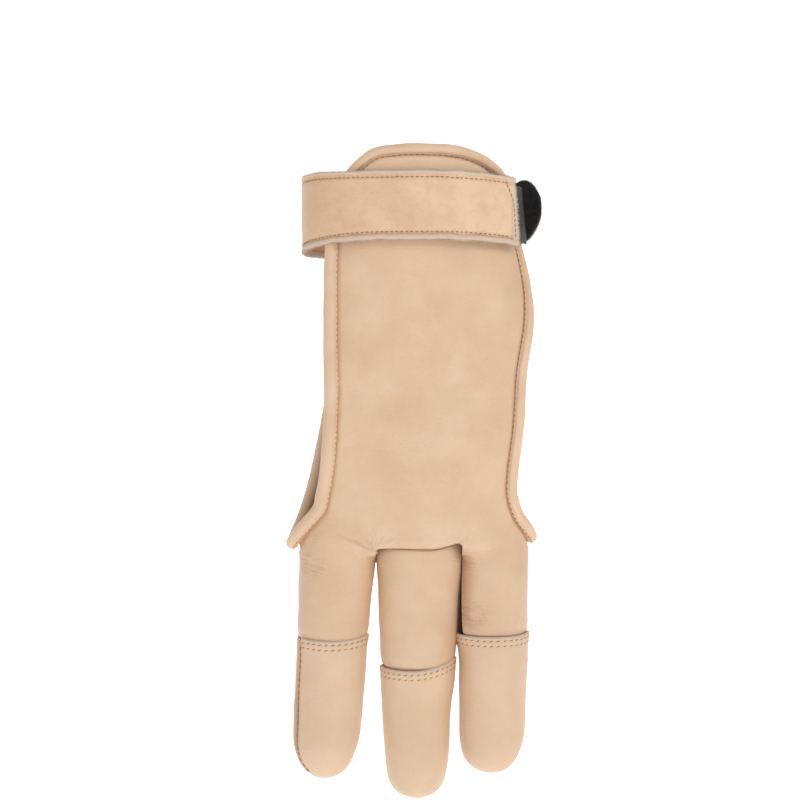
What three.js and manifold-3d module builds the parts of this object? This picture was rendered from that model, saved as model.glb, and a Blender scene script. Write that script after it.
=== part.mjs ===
// A three-finger archery glove of tan leather in the form it has when worn, its fingers pointing down.
// Millimetres. +Z points up the forearm, -Y out of the palm and +X towards the little finger.
// The origin is on the axis of the wrist, just above the middle of the strap's height.
import * as THREE from "three";
import Module from "manifold-3d";

const wasm = await Module();
wasm.setup();

// Driving sizes.
const seamGap = 0.3; // left between pieces that are sewn together
const leatherWall = 1.3;
const capWall = 1.8;
const capLap = 6; // length of finger leather under the edge of a cap
const capTuck = 4; // length over which the finger leather dips under that edge
const palmDrop = 106; // from the origin down to the finger roots
const palmWidth = 82; // of the hand form, where it is widest
const palmDepth = 34; // the size that the depths of the hand form are shares of
const tongueRise = 15.4; // from the origin up to the centre of the binding over the tongue
const backRise = 14; // the same at the back
const bindingWidth = 4;
const bindingHeight = 3;
const underStrap = 0.95; // the widest that the binding is under the strap, as a share
const strapHeight = 22;
const strapDrop = 1.6; // from the origin down to the middle of the strap's height
const strapWall = 2;
const tapeHeight = 20;
const loopTapeWall = 1.4;
const hookTapeWall = 0.9;
const loopTapeOver = 0.9; // how far the loop tape stands out past the tab's tip
const loopTapeSkip = 3; // how many steps of the tab it leaves bare
const hookTapeShow = 2.2; // how far the hook tape stands out past the leather
const tabReach = 4.2; // how far the closing tab stands out from the side of the wrist
const tabForward = 5.6; // how far the tab's tip lies forward of the wrist's middle
const tabBend = 0.4; // how far it stands out at its bend, and at what share of the way forward that lies
const tabBendShare = 0.6;
const tabLead = 0.55; // how far the strap runs on straight before that, as a share of the way to the side
const tabBlunt = 0.35; // how much of the tab's round tip is cut square
const indexSeam = 0.87; // the index finger's side seam, as a share of its half width
const tipSeam = 0.3; // how far that seam lies off the tip's centre, as a share of the width
const indexLength = 73.8; // of each stall below the finger roots, and its width and depth there
const indexWidth = 24.6;
const indexDepth = 23.4;
const indexCapDrop = 28.9; // from the finger roots down to the edge of the cap
const middleLength = 80.1;
const middleWidth = 26.6;
const middleDepth = 24.6;
const middleCapDrop = 37.3;
const middleCapTilt = 1.3; // how far each end of the cap's edge lies off its middle
const tipStart = 0.7; // from this share of a stall's length on, its hollow ends earlier than its outside
const leastRadius = 0.3; // of a hollow's section at a fingertip
const ringLength = 72;
const ringWidth = 21.2;
const ringDepth = 21.6;
const ringCapDrop = 27.2;

// The hand form: along is a share of palmDrop, shift and width of palmWidth, palm and back of palmDepth,
// and square is the exponent of the section, 2 for an ellipse.
const handRows = [
  { along: -0.234, shift: -0.01, width: 0.75, palm: 0.618, back: 0.588, square: 2.3 },
  { along: 0, shift: -0.006, width: 0.775, palm: 0.632, back: 0.588, square: 2.3 },
  { along: 0.113, shift: 0.002, width: 0.812, palm: 0.632, back: 0.574, square: 2.4 },
  { along: 0.234, shift: 0.01, width: 0.88, palm: 0.594, back: 0.515, square: 2.7 },
  { along: 0.42, shift: 0.03, width: 0.976, palm: 0.538, back: 0.45, square: 3.0 },
  { along: 0.615, shift: 0.034, width: 1.0, palm: 0.494, back: 0.412, square: 3.0 },
  { along: 0.781, shift: 0.016, width: 0.966, palm: 0.441, back: 0.388, square: 2.9 },
  { along: 0.898, shift: -0.003, width: 0.917, palm: 0.4, back: 0.374, square: 2.8 },
  { along: 1, shift: -0.006, width: 0.9, palm: 0.371, back: 0.359, square: 2.8 },
];

// The fingers, from the root down: root is a share of palmWidth, curl of the length, along of the length,
// wide of the width and the depth, and side is how far the section's centre lies from the root's, as a share
// of the width.
const fingers = [
  {
    name: "index",
    root: -0.304,
    length: indexLength,
    width: indexWidth,
    depth: indexDepth,
    curl: 0.03,
    capDrop: indexCapDrop,
    capTilt: 0,
    rows: [
      { along: -0.199, wide: 0.94, side: 0.02 },
      { along: -0.034, wide: 1.0, side: 0.0 },
      { along: 0.09, wide: 0.972, side: -0.01 },
      { along: 0.256, wide: 0.935, side: -0.04 },
      { along: 0.431, wide: 0.927, side: -0.062 },
      { along: 0.607, wide: 0.91, side: -0.094 },
      { along: 0.752, wide: 0.888, side: -0.118 },
      { along: 0.845, wide: 0.852, side: -0.136 },
      { along: 0.902, wide: 0.752, side: -0.148 },
      { along: 0.948, wide: 0.608, side: -0.15 },
      { along: 0.981, wide: 0.4, side: -0.15 },
      { along: 0.996, wide: 0.19, side: -0.15 },
    ],
  },
  {
    name: "middle",
    root: 0.016,
    length: middleLength,
    width: middleWidth,
    depth: middleDepth,
    curl: 0.03,
    capDrop: middleCapDrop,
    capTilt: middleCapTilt,
    rows: [
      { along: -0.176, wide: 0.9, side: 0.0 },
      { along: -0.031, wide: 1.0, side: 0.0 },
      { along: 0.093, wide: 0.985, side: 0.0 },
      { along: 0.196, wide: 0.947, side: -0.008 },
      { along: 0.402, wide: 0.905, side: -0.019 },
      { along: 0.505, wide: 0.898, side: -0.015 },
      { along: 0.639, wide: 0.83, side: -0.03 },
      { along: 0.804, wide: 0.78, side: -0.03 },
      { along: 0.887, wide: 0.728, side: -0.03 },
      { along: 0.938, wide: 0.636, side: -0.03 },
      { along: 0.973, wide: 0.466, side: -0.03 },
      { along: 0.994, wide: 0.24, side: -0.03 },
    ],
  },
  {
    name: "ring",
    root: 0.312,
    length: ringLength,
    width: ringWidth,
    depth: ringDepth,
    curl: 0.03,
    capDrop: ringCapDrop,
    capTilt: 0,
    rows: [
      { along: -0.2, wide: 0.95, side: -0.02 },
      { along: -0.035, wide: 1.0, side: 0.0 },
      { along: 0.089, wide: 1.0, side: -0.009 },
      { along: 0.224, wide: 1.036, side: -0.033 },
      { along: 0.452, wide: 1.052, side: -0.024 },
      { along: 0.627, wide: 1.01, side: -0.038 },
      { along: 0.793, wide: 0.988, side: -0.052 },
      { along: 0.865, wide: 0.94, side: -0.06 },
      { along: 0.922, wide: 0.822, side: -0.075 },
      { along: 0.964, wide: 0.63, side: -0.085 },
      { along: 0.988, wide: 0.4, side: -0.085 },
      { along: 0.998, wide: 0.19, side: -0.085 },
    ],
  },
];

// The centre of the binding: reach is a share of half palmWidth, drop of palmDrop below the origin and rise
// of the height above it, lift is how far it stands off the form, wide is a share of bindingWidth.
const palmEdge = [
  { reach: -0.863, drop: 0.953, lift: 0.9, wide: 1.0 },
  { reach: -0.744, drop: 0.89, lift: 0.2, wide: 1.0 },
  { reach: -0.713, drop: 0.84, lift: 0, wide: 1.0 },
  { reach: -0.684, drop: 0.778, lift: 0, wide: 1.0 },
  { reach: -0.662, drop: 0.688, lift: 0, wide: 1.0 },
  { reach: -0.645, drop: 0.543, lift: 0, wide: 1.0 },
  { reach: -0.65, drop: 0.4, lift: 0, wide: 1.0 },
  { reach: -0.647, drop: 0.257, lift: 0, wide: 1.0 },
  { reach: -0.633, drop: 0.098, lift: 0, wide: 1.0 },
  { reach: -0.59, rise: -0.17, lift: 0, wide: 0.95 },
  { reach: -0.54, rise: 0.32, lift: 0, wide: 0.9 },
  { reach: -0.455, rise: 0.64, lift: 0, wide: 0.85 },
  { reach: -0.31, rise: 0.92, lift: 0, wide: 0.85 },
  { reach: -0.12, rise: 0.99, lift: 0, wide: 0.85 },
  { reach: 0.05, rise: 1.0, lift: 0, wide: 0.85 },
  { reach: 0.25, rise: 0.985, lift: 0, wide: 0.85 },
  { reach: 0.41, rise: 0.92, lift: 0, wide: 0.85 },
  { reach: 0.545, rise: 0.78, lift: 0, wide: 0.85 },
  { reach: 0.665, rise: 0.5, lift: 0, wide: 0.85 },
  { reach: 0.71, rise: 0.08, lift: 0, wide: 0.85 },
  { reach: 0.74, drop: 0.059, lift: 0, wide: 0.85 },
  { reach: 0.795, drop: 0.137, lift: 0, wide: 0.85 },
  { reach: 0.851, drop: 0.253, lift: 0, wide: 0.85 },
  { reach: 0.827, drop: 0.428, lift: 0, wide: 0.85 },
  { reach: 0.793, drop: 0.543, lift: 0, wide: 0.85 },
  { reach: 0.759, drop: 0.717, lift: 0, wide: 0.85 },
  { reach: 0.737, drop: 0.805, lift: 0, wide: 0.85 },
  { reach: 0.744, drop: 0.856, lift: 0.1, wide: 0.85 },
  { reach: 0.81, drop: 0.92, lift: 0.3, wide: 0.9 },
];
const backEdge = [
  { reach: 0.83, drop: 0.932, lift: 0.3, wide: 0.9 },
  { reach: 0.752, drop: 0.868, lift: 0.1, wide: 0.85 },
  { reach: 0.727, drop: 0.791, lift: 0, wide: 0.85 },
  { reach: 0.745, drop: 0.586, lift: 0, wide: 0.85 },
  { reach: 0.745, drop: 0.371, lift: 0, wide: 0.85 },
  { reach: 0.71, drop: 0.156, lift: 0, wide: 0.85 },
  { reach: 0.65, rise: 0.1, lift: 0, wide: 0.85 },
  { reach: 0.53, rise: 0.75, lift: 0, wide: 0.85 },
  { reach: 0.3, rise: 0.97, lift: 0, wide: 0.85 },
  { reach: 0.0, rise: 1.0, lift: 0, wide: 0.85 },
  { reach: -0.3, rise: 0.97, lift: 0, wide: 0.85 },
  { reach: -0.5, rise: 0.75, lift: 0, wide: 0.85 },
  { reach: -0.6, rise: 0.1, lift: 0, wide: 0.9 },
  { reach: -0.63, drop: 0.156, lift: 0, wide: 1.0 },
  { reach: -0.66, drop: 0.371, lift: 0, wide: 1.0 },
  { reach: -0.695, drop: 0.586, lift: 0, wide: 1.0 },
  { reach: -0.79, drop: 0.781, lift: 0, wide: 1.0 },
  { reach: -0.835, drop: 0.859, lift: 0.2, wide: 1.0 },
  { reach: -0.888, drop: 0.94, lift: 0.9, wide: 1.0 },
];
const sideLow = { index: { drop: 0.985, lift: 1.3, wide: 1.0 }, ring: { drop: 0.978, lift: 0.6, wide: 0.9 } };

// How many faces the round shapes get, and how many points the index finger's side seam.
const handSides = 48;
const fingerSides = 24;
const handLevels = 12;
const bindingSides = 8;
const bindingSteps = 104;
const strapSteps = 48;
const tabSteps = 14;
const seamSteps = 12;

const far = 4 * palmWidth; // past every piece, for the shapes that only cut

// A smooth curve through the rows of a table, by the column that orders them.
function smooth(rows, by, column) {
  const slope = (i) => {
    const [a, b] = [rows[Math.max(i - 1, 0)], rows[Math.min(i + 1, rows.length - 1)]];
    return (b[column] - a[column]) / (b[by] - a[by]);
  };
  return (at) => {
    let i = rows.findIndex((row) => row[by] > at) - 1;
    if (i === -2) i = rows.length - 2;
    i = Math.max(i, 0);
    const [a, b] = [rows[i], rows[i + 1]];
    const run = b[by] - a[by];
    const t = THREE.MathUtils.clamp((at - a[by]) / run, 0, 1);
    const [t2, t3] = [t * t, t * t * t];
    return (
      (2 * t3 - 3 * t2 + 1) * a[column] +
      (t3 - 2 * t2 + t) * run * slope(i) +
      (3 * t2 - 2 * t3) * b[column] +
      (t3 - t2) * run * slope(i + 1)
    );
  };
}

// Solids, their geometry and what joins them.
function solidFrom(positions, triangles) {
  const [vertProperties, triVerts] = [new Float32Array(positions), new Uint32Array(triangles)];
  return new wasm.Manifold(new wasm.Mesh({ numProp: 3, vertProperties, triVerts }));
}

function geometryOf(solid) {
  const mesh = solid.getMesh();
  const geometry = new THREE.BufferGeometry();
  geometry.setAttribute("position", new THREE.BufferAttribute(new Float32Array(mesh.vertProperties), 3));
  geometry.setIndex(new THREE.BufferAttribute(new Uint32Array(mesh.triVerts), 1));
  geometry.computeVertexNormals();
  return geometry;
}

// A solid through rings of as many points each, closed by flat ends, or round to its first ring.
function loft(rings, round = false) {
  const sides = rings[0].length;
  const positions = rings.flat().flatMap((p) => [p.x, p.y, p.z]);
  const triangles = [];
  const spans = round ? rings.length : rings.length - 1;
  for (let i = 0; i < spans; i++) {
    const [low, high] = [i * sides, ((i + 1) % rings.length) * sides];
    for (let j = 0; j < sides; j++) {
      const k = (j + 1) % sides;
      triangles.push(low + j, low + k, high + j, low + k, high + k, high + j);
    }
  }
  if (!round) {
    const last = (rings.length - 1) * sides;
    for (let j = 1; j < sides - 1; j++) {
      triangles.push(0, j + 1, j);
      triangles.push(last, last + j, last + j + 1);
    }
  }
  const solid = solidFrom(positions, triangles);
  if (solid.volume() > 0) return solid;
  for (let i = 0; i < triangles.length; i += 3) {
    [triangles[i + 1], triangles[i + 2]] = [triangles[i + 2], triangles[i + 1]];
  }
  return solidFrom(positions, triangles);
}

// A prism of an outline in x and z, between two depths.
function prism(outline, fromY, toY) {
  const shape = outline.map(([x, z]) => new THREE.Vector2(x, z));
  if (THREE.ShapeUtils.area(shape) < 0) shape.reverse();
  const flat = THREE.ShapeUtils.triangulateShape(shape, []);
  const count = shape.length;
  const positions = [fromY, toY].flatMap((y) => shape.flatMap((p) => [p.x, y, p.y]));
  const triangles = flat.flatMap(([a, b, c]) => [a, b, c, a + count, c + count, b + count]);
  for (let i = 0; i < count; i++) {
    const j = (i + 1) % count;
    triangles.push(i, i + count, j, j, i + count, j + count);
  }
  const solid = solidFrom(positions, triangles);
  if (solid.volume() > 0) return solid;
  for (let i = 0; i < triangles.length; i += 3) {
    [triangles[i + 1], triangles[i + 2]] = [triangles[i + 2], triangles[i + 1]];
  }
  return solidFrom(positions, triangles);
}

const union = (solids) => solids.reduce((all, one) => all.add(one));

// What is left of a piece without the slivers that a cut leaves beyond its seat.
function largest(solid) {
  return solid.decompose().reduce((most, one) => (one.volume() > most.volume() ? one : most));
}

// The hand form's outer surface.
const hand = Object.fromEntries(
  ["shift", "width", "palm", "back", "square"].map((column) => [column, smooth(handRows, "along", column)]),
);

function handPoint(angle, z, offset = 0) {
  const along = -z / palmDrop;
  const power = 2 / hand.square(along);
  const [c, s] = [Math.cos(angle), Math.sin(angle)];
  const halfWidth = (hand.width(along) * palmWidth) / 2 + offset;
  const depth = (s < 0 ? hand.palm(along) : hand.back(along)) * palmDepth + offset;
  return new THREE.Vector3(
    hand.shift(along) * palmWidth + halfWidth * Math.sign(c) * Math.abs(c) ** power,
    depth * Math.sign(s) * Math.abs(s) ** power,
    z,
  );
}

function handNormal(angle, z) {
  const step = 0.01;
  const run = handPoint(angle + step, z).sub(handPoint(angle - step, z));
  return new THREE.Vector3(run.y, -run.x, 0).normalize();
}

// The angle at which the hand form has a given x, on the palm's side or the back's.
function handAngle(x, z, side) {
  const along = -z / palmDrop;
  const share = THREE.MathUtils.clamp(
    (x - hand.shift(along) * palmWidth) / ((hand.width(along) * palmWidth) / 2), -1, 1);
  const c = Math.sign(share) * Math.abs(share) ** (hand.square(along) / 2);
  return side === "palm" ? 2 * Math.PI - Math.acos(c) : Math.acos(c);
}

function handRing(z, offset) {
  return Array.from({ length: handSides }, (_, i) => handPoint((2 * Math.PI * i) / handSides, z, offset));
}

function handSolid(offset, top, bottom) {
  const rings = Array.from({ length: handLevels + 1 }, (_, i) => {
    const z = THREE.MathUtils.lerp(bottom, top, i / handLevels);
    return handRing(z, offset);
  });
  return loft(rings);
}

// A finger: its section at a height, and the solid that its outer surface, moved by an offset, bounds.
function fingerSection(finger, z) {
  const along = (-palmDrop - z) / finger.length;
  const wide = smooth(finger.rows, "along", "wide")(along);
  return {
    x: finger.root * palmWidth + smooth(finger.rows, "along", "side")(along) * finger.width,
    y: -finger.curl * finger.length * Math.max(along, 0) ** 2,
    halfWidth: (wide * finger.width) / 2,
    halfDepth: (wide * finger.depth) / 2,
  };
}

const capTop = (finger) => -palmDrop - finger.capDrop;

// How far the leather on the front of a finger dips at a height, to pass under the cap's edge.
function dip(finger, z) {
  const edge = capTop(finger) + finger.capTilt + 0.5 * seamGap;
  return (capWall + seamGap) * THREE.MathUtils.smoothstep(-z, -edge - capTuck, -edge);
}

function fingerRing(finger, z, offset) {
  const section = fingerSection(finger, z);
  return Array.from({ length: fingerSides }, (_, i) => {
    const angle = (2 * Math.PI * i) / fingerSides;
    return new THREE.Vector3(
      section.x + Math.max(section.halfWidth + offset, leastRadius) * Math.cos(angle),
      section.y + Math.max(section.halfDepth + offset, leastRadius) * Math.sin(angle),
      z,
    );
  });
}

// A closed finger down to its tip.
function fingerSolid(finger, offset) {
  const tipShift = offset < 0 ? -offset : 0;
  const rings = finger.rows.map((row) => {
    const z = -palmDrop - row.along * finger.length;
    const height = z + tipShift * THREE.MathUtils.smoothstep(row.along, tipStart, 1);
    return fingerRing(finger, z, offset).map((p) => p.setZ(height));
  });
  return loft(rings);
}

// The front of a finger, which ends open under the cap's edge.
function fingerFront(finger, offset, extra) {
  const edge = capTop(finger);
  const end = edge - capLap - extra;
  const heights = [
    ...finger.rows.map((row) => -palmDrop - row.along * finger.length).filter((z) => z > edge + capTuck + 1),
    edge + capTuck,
    edge + 0.5 * capTuck,
    edge,
    end,
  ];
  return loft(heights.map((z) => fingerRing(finger, z, offset - dip(finger, z))));
}

// The loop that the binding follows: round the palm's edge, the side of the ring finger, the back's edge and
// the side of the index finger.
function edgeLoop() {
  const heightOf = (row, rise) => ("rise" in row ? row.rise * rise : -row.drop * palmDrop);
  const onSide = (rows, side, rise) =>
    rows.map((row) => {
      const z = heightOf(row, rise);
      return { angle: handAngle((row.reach * palmWidth) / 2, z, side), z, lift: row.lift, wide: row.wide };
    });
  const low = (row, angle) => ({ angle, z: -row.drop * palmDrop, lift: row.lift, wide: row.wide });
  const turn = 2 * Math.PI;
  const once = [
    low(sideLow.index, Math.PI),
    ...onSide(palmEdge, "palm", tongueRise),
    low(sideLow.ring, turn),
    ...onSide(backEdge, "back", backRise).map((row) => ({ ...row, angle: row.angle + turn })),
  ];
  const shifted = (row, by) => ({ ...row, angle: row.angle + by });
  const rows = [
    ...once.slice(-2).map((row) => shifted(row, -turn)),
    ...once,
    ...once.slice(0, 3).map((row) => shifted(row, turn)),
  ];
  const reach = palmWidth / 2;
  const place = new THREE.CatmullRomCurve3(rows.map((row) => new THREE.Vector3(row.angle * reach, row.z, 0)));
  const looks = rows.map((row) => new THREE.Vector3(row.lift, row.wide, 0));
  const form = new THREE.CatmullRomCurve3(looks, false, "catmullrom", 0);
  const span = rows.length - 1;
  const [start, end] = [2 / span, (2 + once.length) / span];
  const fine = 20 * bindingSteps;
  const trail = Array.from({ length: fine + 1 }, (_, i) => {
    const t = THREE.MathUtils.lerp(start, end, i / fine);
    const [p, f] = [place.getPoint(t), form.getPoint(t)];
    return { angle: p.x / reach, z: p.y, lift: f.x, wide: f.y };
  });
  const points = trail.map((s) => handPoint(s.angle, s.z, s.lift - leatherWall / 2));
  const lengths = [0];
  points.slice(1).forEach((p, i) => lengths.push(lengths[i] + p.distanceTo(points[i])));
  const total = lengths[fine];
  return Array.from({ length: bindingSteps }, (_, k) => {
    const i = lengths.findIndex((length) => length >= (k * total) / bindingSteps);
    return { ...trail[i], point: points[i], normal: handNormal(trail[i].angle, trail[i].z) };
  });
}

// The binding, or a fatter copy of it that cuts its seat.
function bindingSolid(loop, grow) {
  const rings = loop.map((station, i) => {
    const [before, after] = [loop.at(i - 1), loop[(i + 1) % loop.length]];
    const along = after.point.clone().sub(before.point).normalize();
    const across = along.clone().cross(station.normal).normalize();
    const up = across.clone().cross(along);
    return Array.from({ length: bindingSides }, (_, k) => {
      const angle = (2 * Math.PI * k) / bindingSides;
      return station.point
        .clone()
        .addScaledVector(across, ((station.wide * bindingWidth) / 2 + grow) * Math.cos(angle))
        .addScaledVector(up, ((station.wide * bindingHeight) / 2 + grow) * Math.sin(angle));
    });
  });
  return loft(rings, true);
}

// Everything inside the edge on one side, in x and z.
function insideEdge(loop, side) {
  const onSide = loop.filter((station) => (side === "palm") === station.angle < 2 * Math.PI);
  const line = onSide.map((station) => [station.point.x, station.point.z]);
  const [first, last] = [line[0], line[line.length - 1]];
  const deep = -palmDrop - far;
  return [
    [Math.sign(first[0]) * far, deep],
    [Math.sign(first[0]) * far, first[1]],
    ...line,
    [Math.sign(last[0]) * far, last[1]],
    [Math.sign(last[0]) * far, deep],
  ];
}

// The seam between front and back: the plane y = 0, but further forward on the index finger's outer side.
function frontZone(grow) {
  const index = fingers[0];
  const tip = -palmDrop - index.length;
  const seam = Array.from({ length: seamSteps }, (_, i) => {
    const z = THREE.MathUtils.lerp(-palmDrop + 2, tip + 0.1 * index.length, i / (seamSteps - 1));
    const section = fingerSection(index, z);
    return [section.x - indexSeam * section.halfWidth - grow, z];
  });
  const tipCentre = fingerSection(index, tip).x;
  return prism(
    [
      [-far, far],
      [-far, seam[0][1] + 2],
      ...seam,
      [tipCentre - tipSeam * index.width - grow, tip + 0.02 * index.length],
      [tipCentre - tipSeam * index.width - grow, tip - far],
      [far, tip - far],
      [far, far],
    ],
    -far,
    grow,
  );
}

const loop = edgeLoop();
const bindingSeat = bindingSolid(loop, seamGap);
const handTop = Math.max(tongueRise, backRise) + bindingWidth;
const handOuter = handSolid(0, handTop, -palmDrop);
const handInner = handSolid(-leatherWall, handTop + 1, -palmDrop + leatherWall);
const [index, middle, ring] = fingers;
const front = frontZone(-seamGap / 2);
const notFront = frontZone(seamGap / 2);
const palmZone = prism(insideEdge(loop, "palm"), -far, far);
const backZone = prism(insideEdge(loop, "back"), -far, far);

// What lies below a height that may slope across a finger.
function below(height, finger, tilt = 0) {
  const reach = finger.width;
  const x = finger.root * palmWidth;
  return prism(
    [
      [x - reach, height - (tilt * reach) / (finger.width / 2)],
      [x - reach, height - far],
      [x + reach, height - far],
      [x + reach, height + (tilt * reach) / (finger.width / 2)],
    ],
    -far,
    far,
  );
}

// The palm leather: the palm panel with its tongue, and the fronts of the index and ring fingers.
function palmLeather() {
  const outer = union([handOuter, fingerFront(index, 0, 0), fingerFront(ring, 0, 0)]);
  const inner = union([
    handInner,
    fingerFront(index, -leatherWall, 1),
    fingerFront(ring, -leatherWall, 1),
    fingerSolid(middle, -leatherWall),
  ]);
  return largest(outer.subtract(inner).intersect(front).intersect(palmZone).subtract(bindingSeat));
}

// The front of the middle finger, a piece of its own with a seam across its root.
function middleFront() {
  const tube = fingerFront(middle, 0, 0).subtract(fingerFront(middle, -leatherWall, 1));
  return tube.intersect(front).intersect(below(-palmDrop - seamGap, middle));
}

// The back leather: the back panel and the backs of the fingers.
function backLeather() {
  const outer = union([handOuter, ...fingers.map((finger) => fingerSolid(finger, 0))]);
  const inner = union([handInner, ...fingers.map((finger) => fingerSolid(finger, -leatherWall))]);
  return largest(outer.subtract(inner).subtract(notFront).intersect(backZone).subtract(bindingSeat));
}

// A cap over the front of a fingertip.
function cap(finger) {
  const shell = fingerSolid(finger, 0).subtract(fingerSolid(finger, -capWall));
  return shell.intersect(front).intersect(below(capTop(finger), finger, finger.capTilt));
}

// The strap's line in plan: round the hand form with room for the binding, from its square end on the palm's
// right through the left side and the back of the wrist to the tab that stands out on the right.
const strapOffset = -leatherWall / 2 + (underStrap * bindingHeight) / 2 + seamGap;
const squareEnd = -0.63; // in radians from the right side of the wrist, towards the palm
const tabStart = 0.62; // the same towards the back
const hookTapeArc = 0.6; // in radians, how far the hook tape reaches back from the square end

function strapLine(offset) {
  const z = -strapHeight / 2;
  const turn = 2 * Math.PI;
  const round = Array.from({ length: strapSteps + 1 }, (_, i) => {
    const angle = THREE.MathUtils.lerp(turn + squareEnd, tabStart, i / strapSteps);
    const fromEnd = turn + squareEnd - angle;
    const near = 1 - THREE.MathUtils.smoothstep(fromEnd, hookTapeArc, 2 * hookTapeArc);
    const lift = (hookTapeWall + seamGap) * near;
    const point = handPoint(angle, z, strapOffset + lift + strapWall / 2);
    return { point: point.setZ(0), normal: handNormal(angle, z) };
  });
  return round.map((s) => ({ ...s, point: s.point.clone().addScaledVector(s.normal, offset) }));
}

// The tab, which leaves the wrist on its right and turns outwards under the square end.
function tabLine(offset, stretch = 0) {
  const round = strapLine(0);
  const [from, before] = [round[round.length - 1], round[round.length - 2]];
  const side = handPoint(0, -strapHeight / 2, strapOffset + strapWall / 2).setZ(0);
  const heading = from.point.clone().sub(before.point).normalize();
  const tip = side.clone().add(new THREE.Vector3(tabReach, -tabForward, 0));
  const bend = side.clone().add(new THREE.Vector3(tabBend, -tabBendShare * tabForward, 0));
  const curve = new THREE.CubicBezierCurve3(
    from.point,
    from.point.clone().addScaledVector(heading, tabLead * side.distanceTo(from.point)),
    bend,
    tip.clone().addScaledVector(tip.clone().sub(bend).normalize(), stretch),
  );
  return Array.from({ length: tabSteps + 1 }, (_, i) => {
    const t = i / tabSteps;
    const along = curve.getTangent(t);
    const normal = new THREE.Vector3(-along.y, along.x, 0);
    return { point: curve.getPoint(t).addScaledVector(normal, offset), normal };
  });
}

// A flat band on edge: a rectangle at each station, whose top and bottom may differ from station to station.
function band(stations, wall) {
  return loft(
    stations.map(({ point, normal, top, bottom }) =>
      [[-1, bottom], [1, bottom], [1, top], [-1, top]].map(([side, z]) =>
        point.clone().addScaledVector(normal, (side * wall) / 2).setZ(z),
      ),
    ),
  );
}

// Rounds the far end of a band, by the distance that is left to its end.
function roundEnd(stations, height) {
  const left = stations.map(() => 0);
  for (let i = stations.length - 2; i >= 0; i--) {
    left[i] = left[i + 1] + stations[i].point.distanceTo(stations[i + 1].point);
  }
  const radius = height / 2;
  return stations.map((station, i) => {
    const d = Math.min(left[i] + tabBlunt, radius);
    const half = Math.sqrt(radius * radius - (radius - d) ** 2);
    return { ...station, top: half - strapDrop, bottom: -half - strapDrop };
  });
}

function level(stations, height) {
  return stations.map((s) => ({ ...s, top: height / 2 - strapDrop, bottom: -height / 2 - strapDrop }));
}

// The strap: one band from its square end round the wrist to the tab's rounded tip.
function wristStrap() {
  const tab = roundEnd(tabLine(0), tapeHeight);
  return band([...level(strapLine(0), strapHeight), ...tab.slice(1)], strapWall);
}

// The hook tape lies under the square end and stands out past it.
function hookTape() {
  const under = -(strapWall + hookTapeWall) / 2 - seamGap;
  const steps = Math.floor((strapSteps * hookTapeArc) / (2 * Math.PI + squareEnd - tabStart));
  const stations = strapLine(under).slice(0, steps + 1);
  const [first, second] = stations;
  const out = first.point.clone().sub(second.point).normalize();
  const past = { ...first, point: first.point.clone().addScaledVector(out, hookTapeShow) };
  return band(level([past, ...stations], tapeHeight), hookTapeWall);
}

// The loop tape covers the inner face of the tab.
function loopTape() {
  const under = -(strapWall + loopTapeWall) / 2 - seamGap;
  return band(roundEnd(tabLine(under, loopTapeOver), tapeHeight).slice(loopTapeSkip), loopTapeWall);
}

const group = new THREE.Group();
const tan = { color: 0xdfbe9e, roughness: 0.55, metalness: 0 };
const paleTan = { color: 0xdcc2a4, roughness: 0.6, metalness: 0 };
const black = { color: 0x1d1d1e, roughness: 0.95, metalness: 0 };
const grey = { color: 0x4a4a4c, roughness: 0.6, metalness: 0 };

function place(name, solid, finish) {
  const mesh = new THREE.Mesh(geometryOf(solid), new THREE.MeshStandardMaterial(finish));
  mesh.name = name;
  group.add(mesh);
}

place("palm_leather", palmLeather(), tan);
place("middle_front", middleFront(), tan);
place("back_leather", backLeather(), tan);
for (const finger of fingers) place(`${finger.name}_cap`, cap(finger), tan);
place("edge_binding", bindingSolid(loop, 0), paleTan);
place("wrist_strap", wristStrap(), tan);
place("hook_tape", hookTape(), grey);
place("loop_tape", loopTape(), black);

export default group;
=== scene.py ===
import math
import random

import bmesh
import bpy
import numpy as np
from mathutils import Matrix, Vector, noise
from mathutils.bvhtree import BVHTree
from mathutils.kdtree import KDTree


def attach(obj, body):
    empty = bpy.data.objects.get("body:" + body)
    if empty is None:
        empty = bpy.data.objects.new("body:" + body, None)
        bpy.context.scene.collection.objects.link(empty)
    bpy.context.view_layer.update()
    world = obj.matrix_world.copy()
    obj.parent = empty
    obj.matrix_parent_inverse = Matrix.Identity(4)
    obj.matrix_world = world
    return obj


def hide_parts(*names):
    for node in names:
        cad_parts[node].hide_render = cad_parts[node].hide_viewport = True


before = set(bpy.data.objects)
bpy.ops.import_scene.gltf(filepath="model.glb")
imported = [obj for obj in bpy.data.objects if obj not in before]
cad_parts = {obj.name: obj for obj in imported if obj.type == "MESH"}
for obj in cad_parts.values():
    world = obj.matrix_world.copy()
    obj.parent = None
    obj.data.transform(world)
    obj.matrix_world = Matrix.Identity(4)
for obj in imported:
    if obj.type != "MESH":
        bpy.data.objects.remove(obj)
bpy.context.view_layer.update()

mm = 0.001  # everything below is in millimetres until a piece is placed
scene = bpy.context.scene
dice = random.Random(7)
turn = 2 * math.pi

form = {
    "palmDrop": 106.0,  # from the origin down to the finger roots
    "palmWidth": 82.0,
    "palmDepth": 34.0,
    "tongueRise": 15.4,
    "backRise": 14.0,
    "leatherWall": 1.3,
    "frontVoxel": 0.56,
    "backVoxel": 0.66,
    "quickVoxel": 1.1,
    "smoothRounds": 4,
    "relaxRounds": 14,
}


def detail(full):  # the value for the full model
    return full


def table(columns, rows):
    return {name: np.array(values, float) for name, values in zip(columns.split(), zip(*rows))}


def smoothstep(x, low, high):
    t = np.clip((np.asarray(x, float) - low) / (high - low), 0, 1)
    return t * t * (3 - 2 * t)


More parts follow.
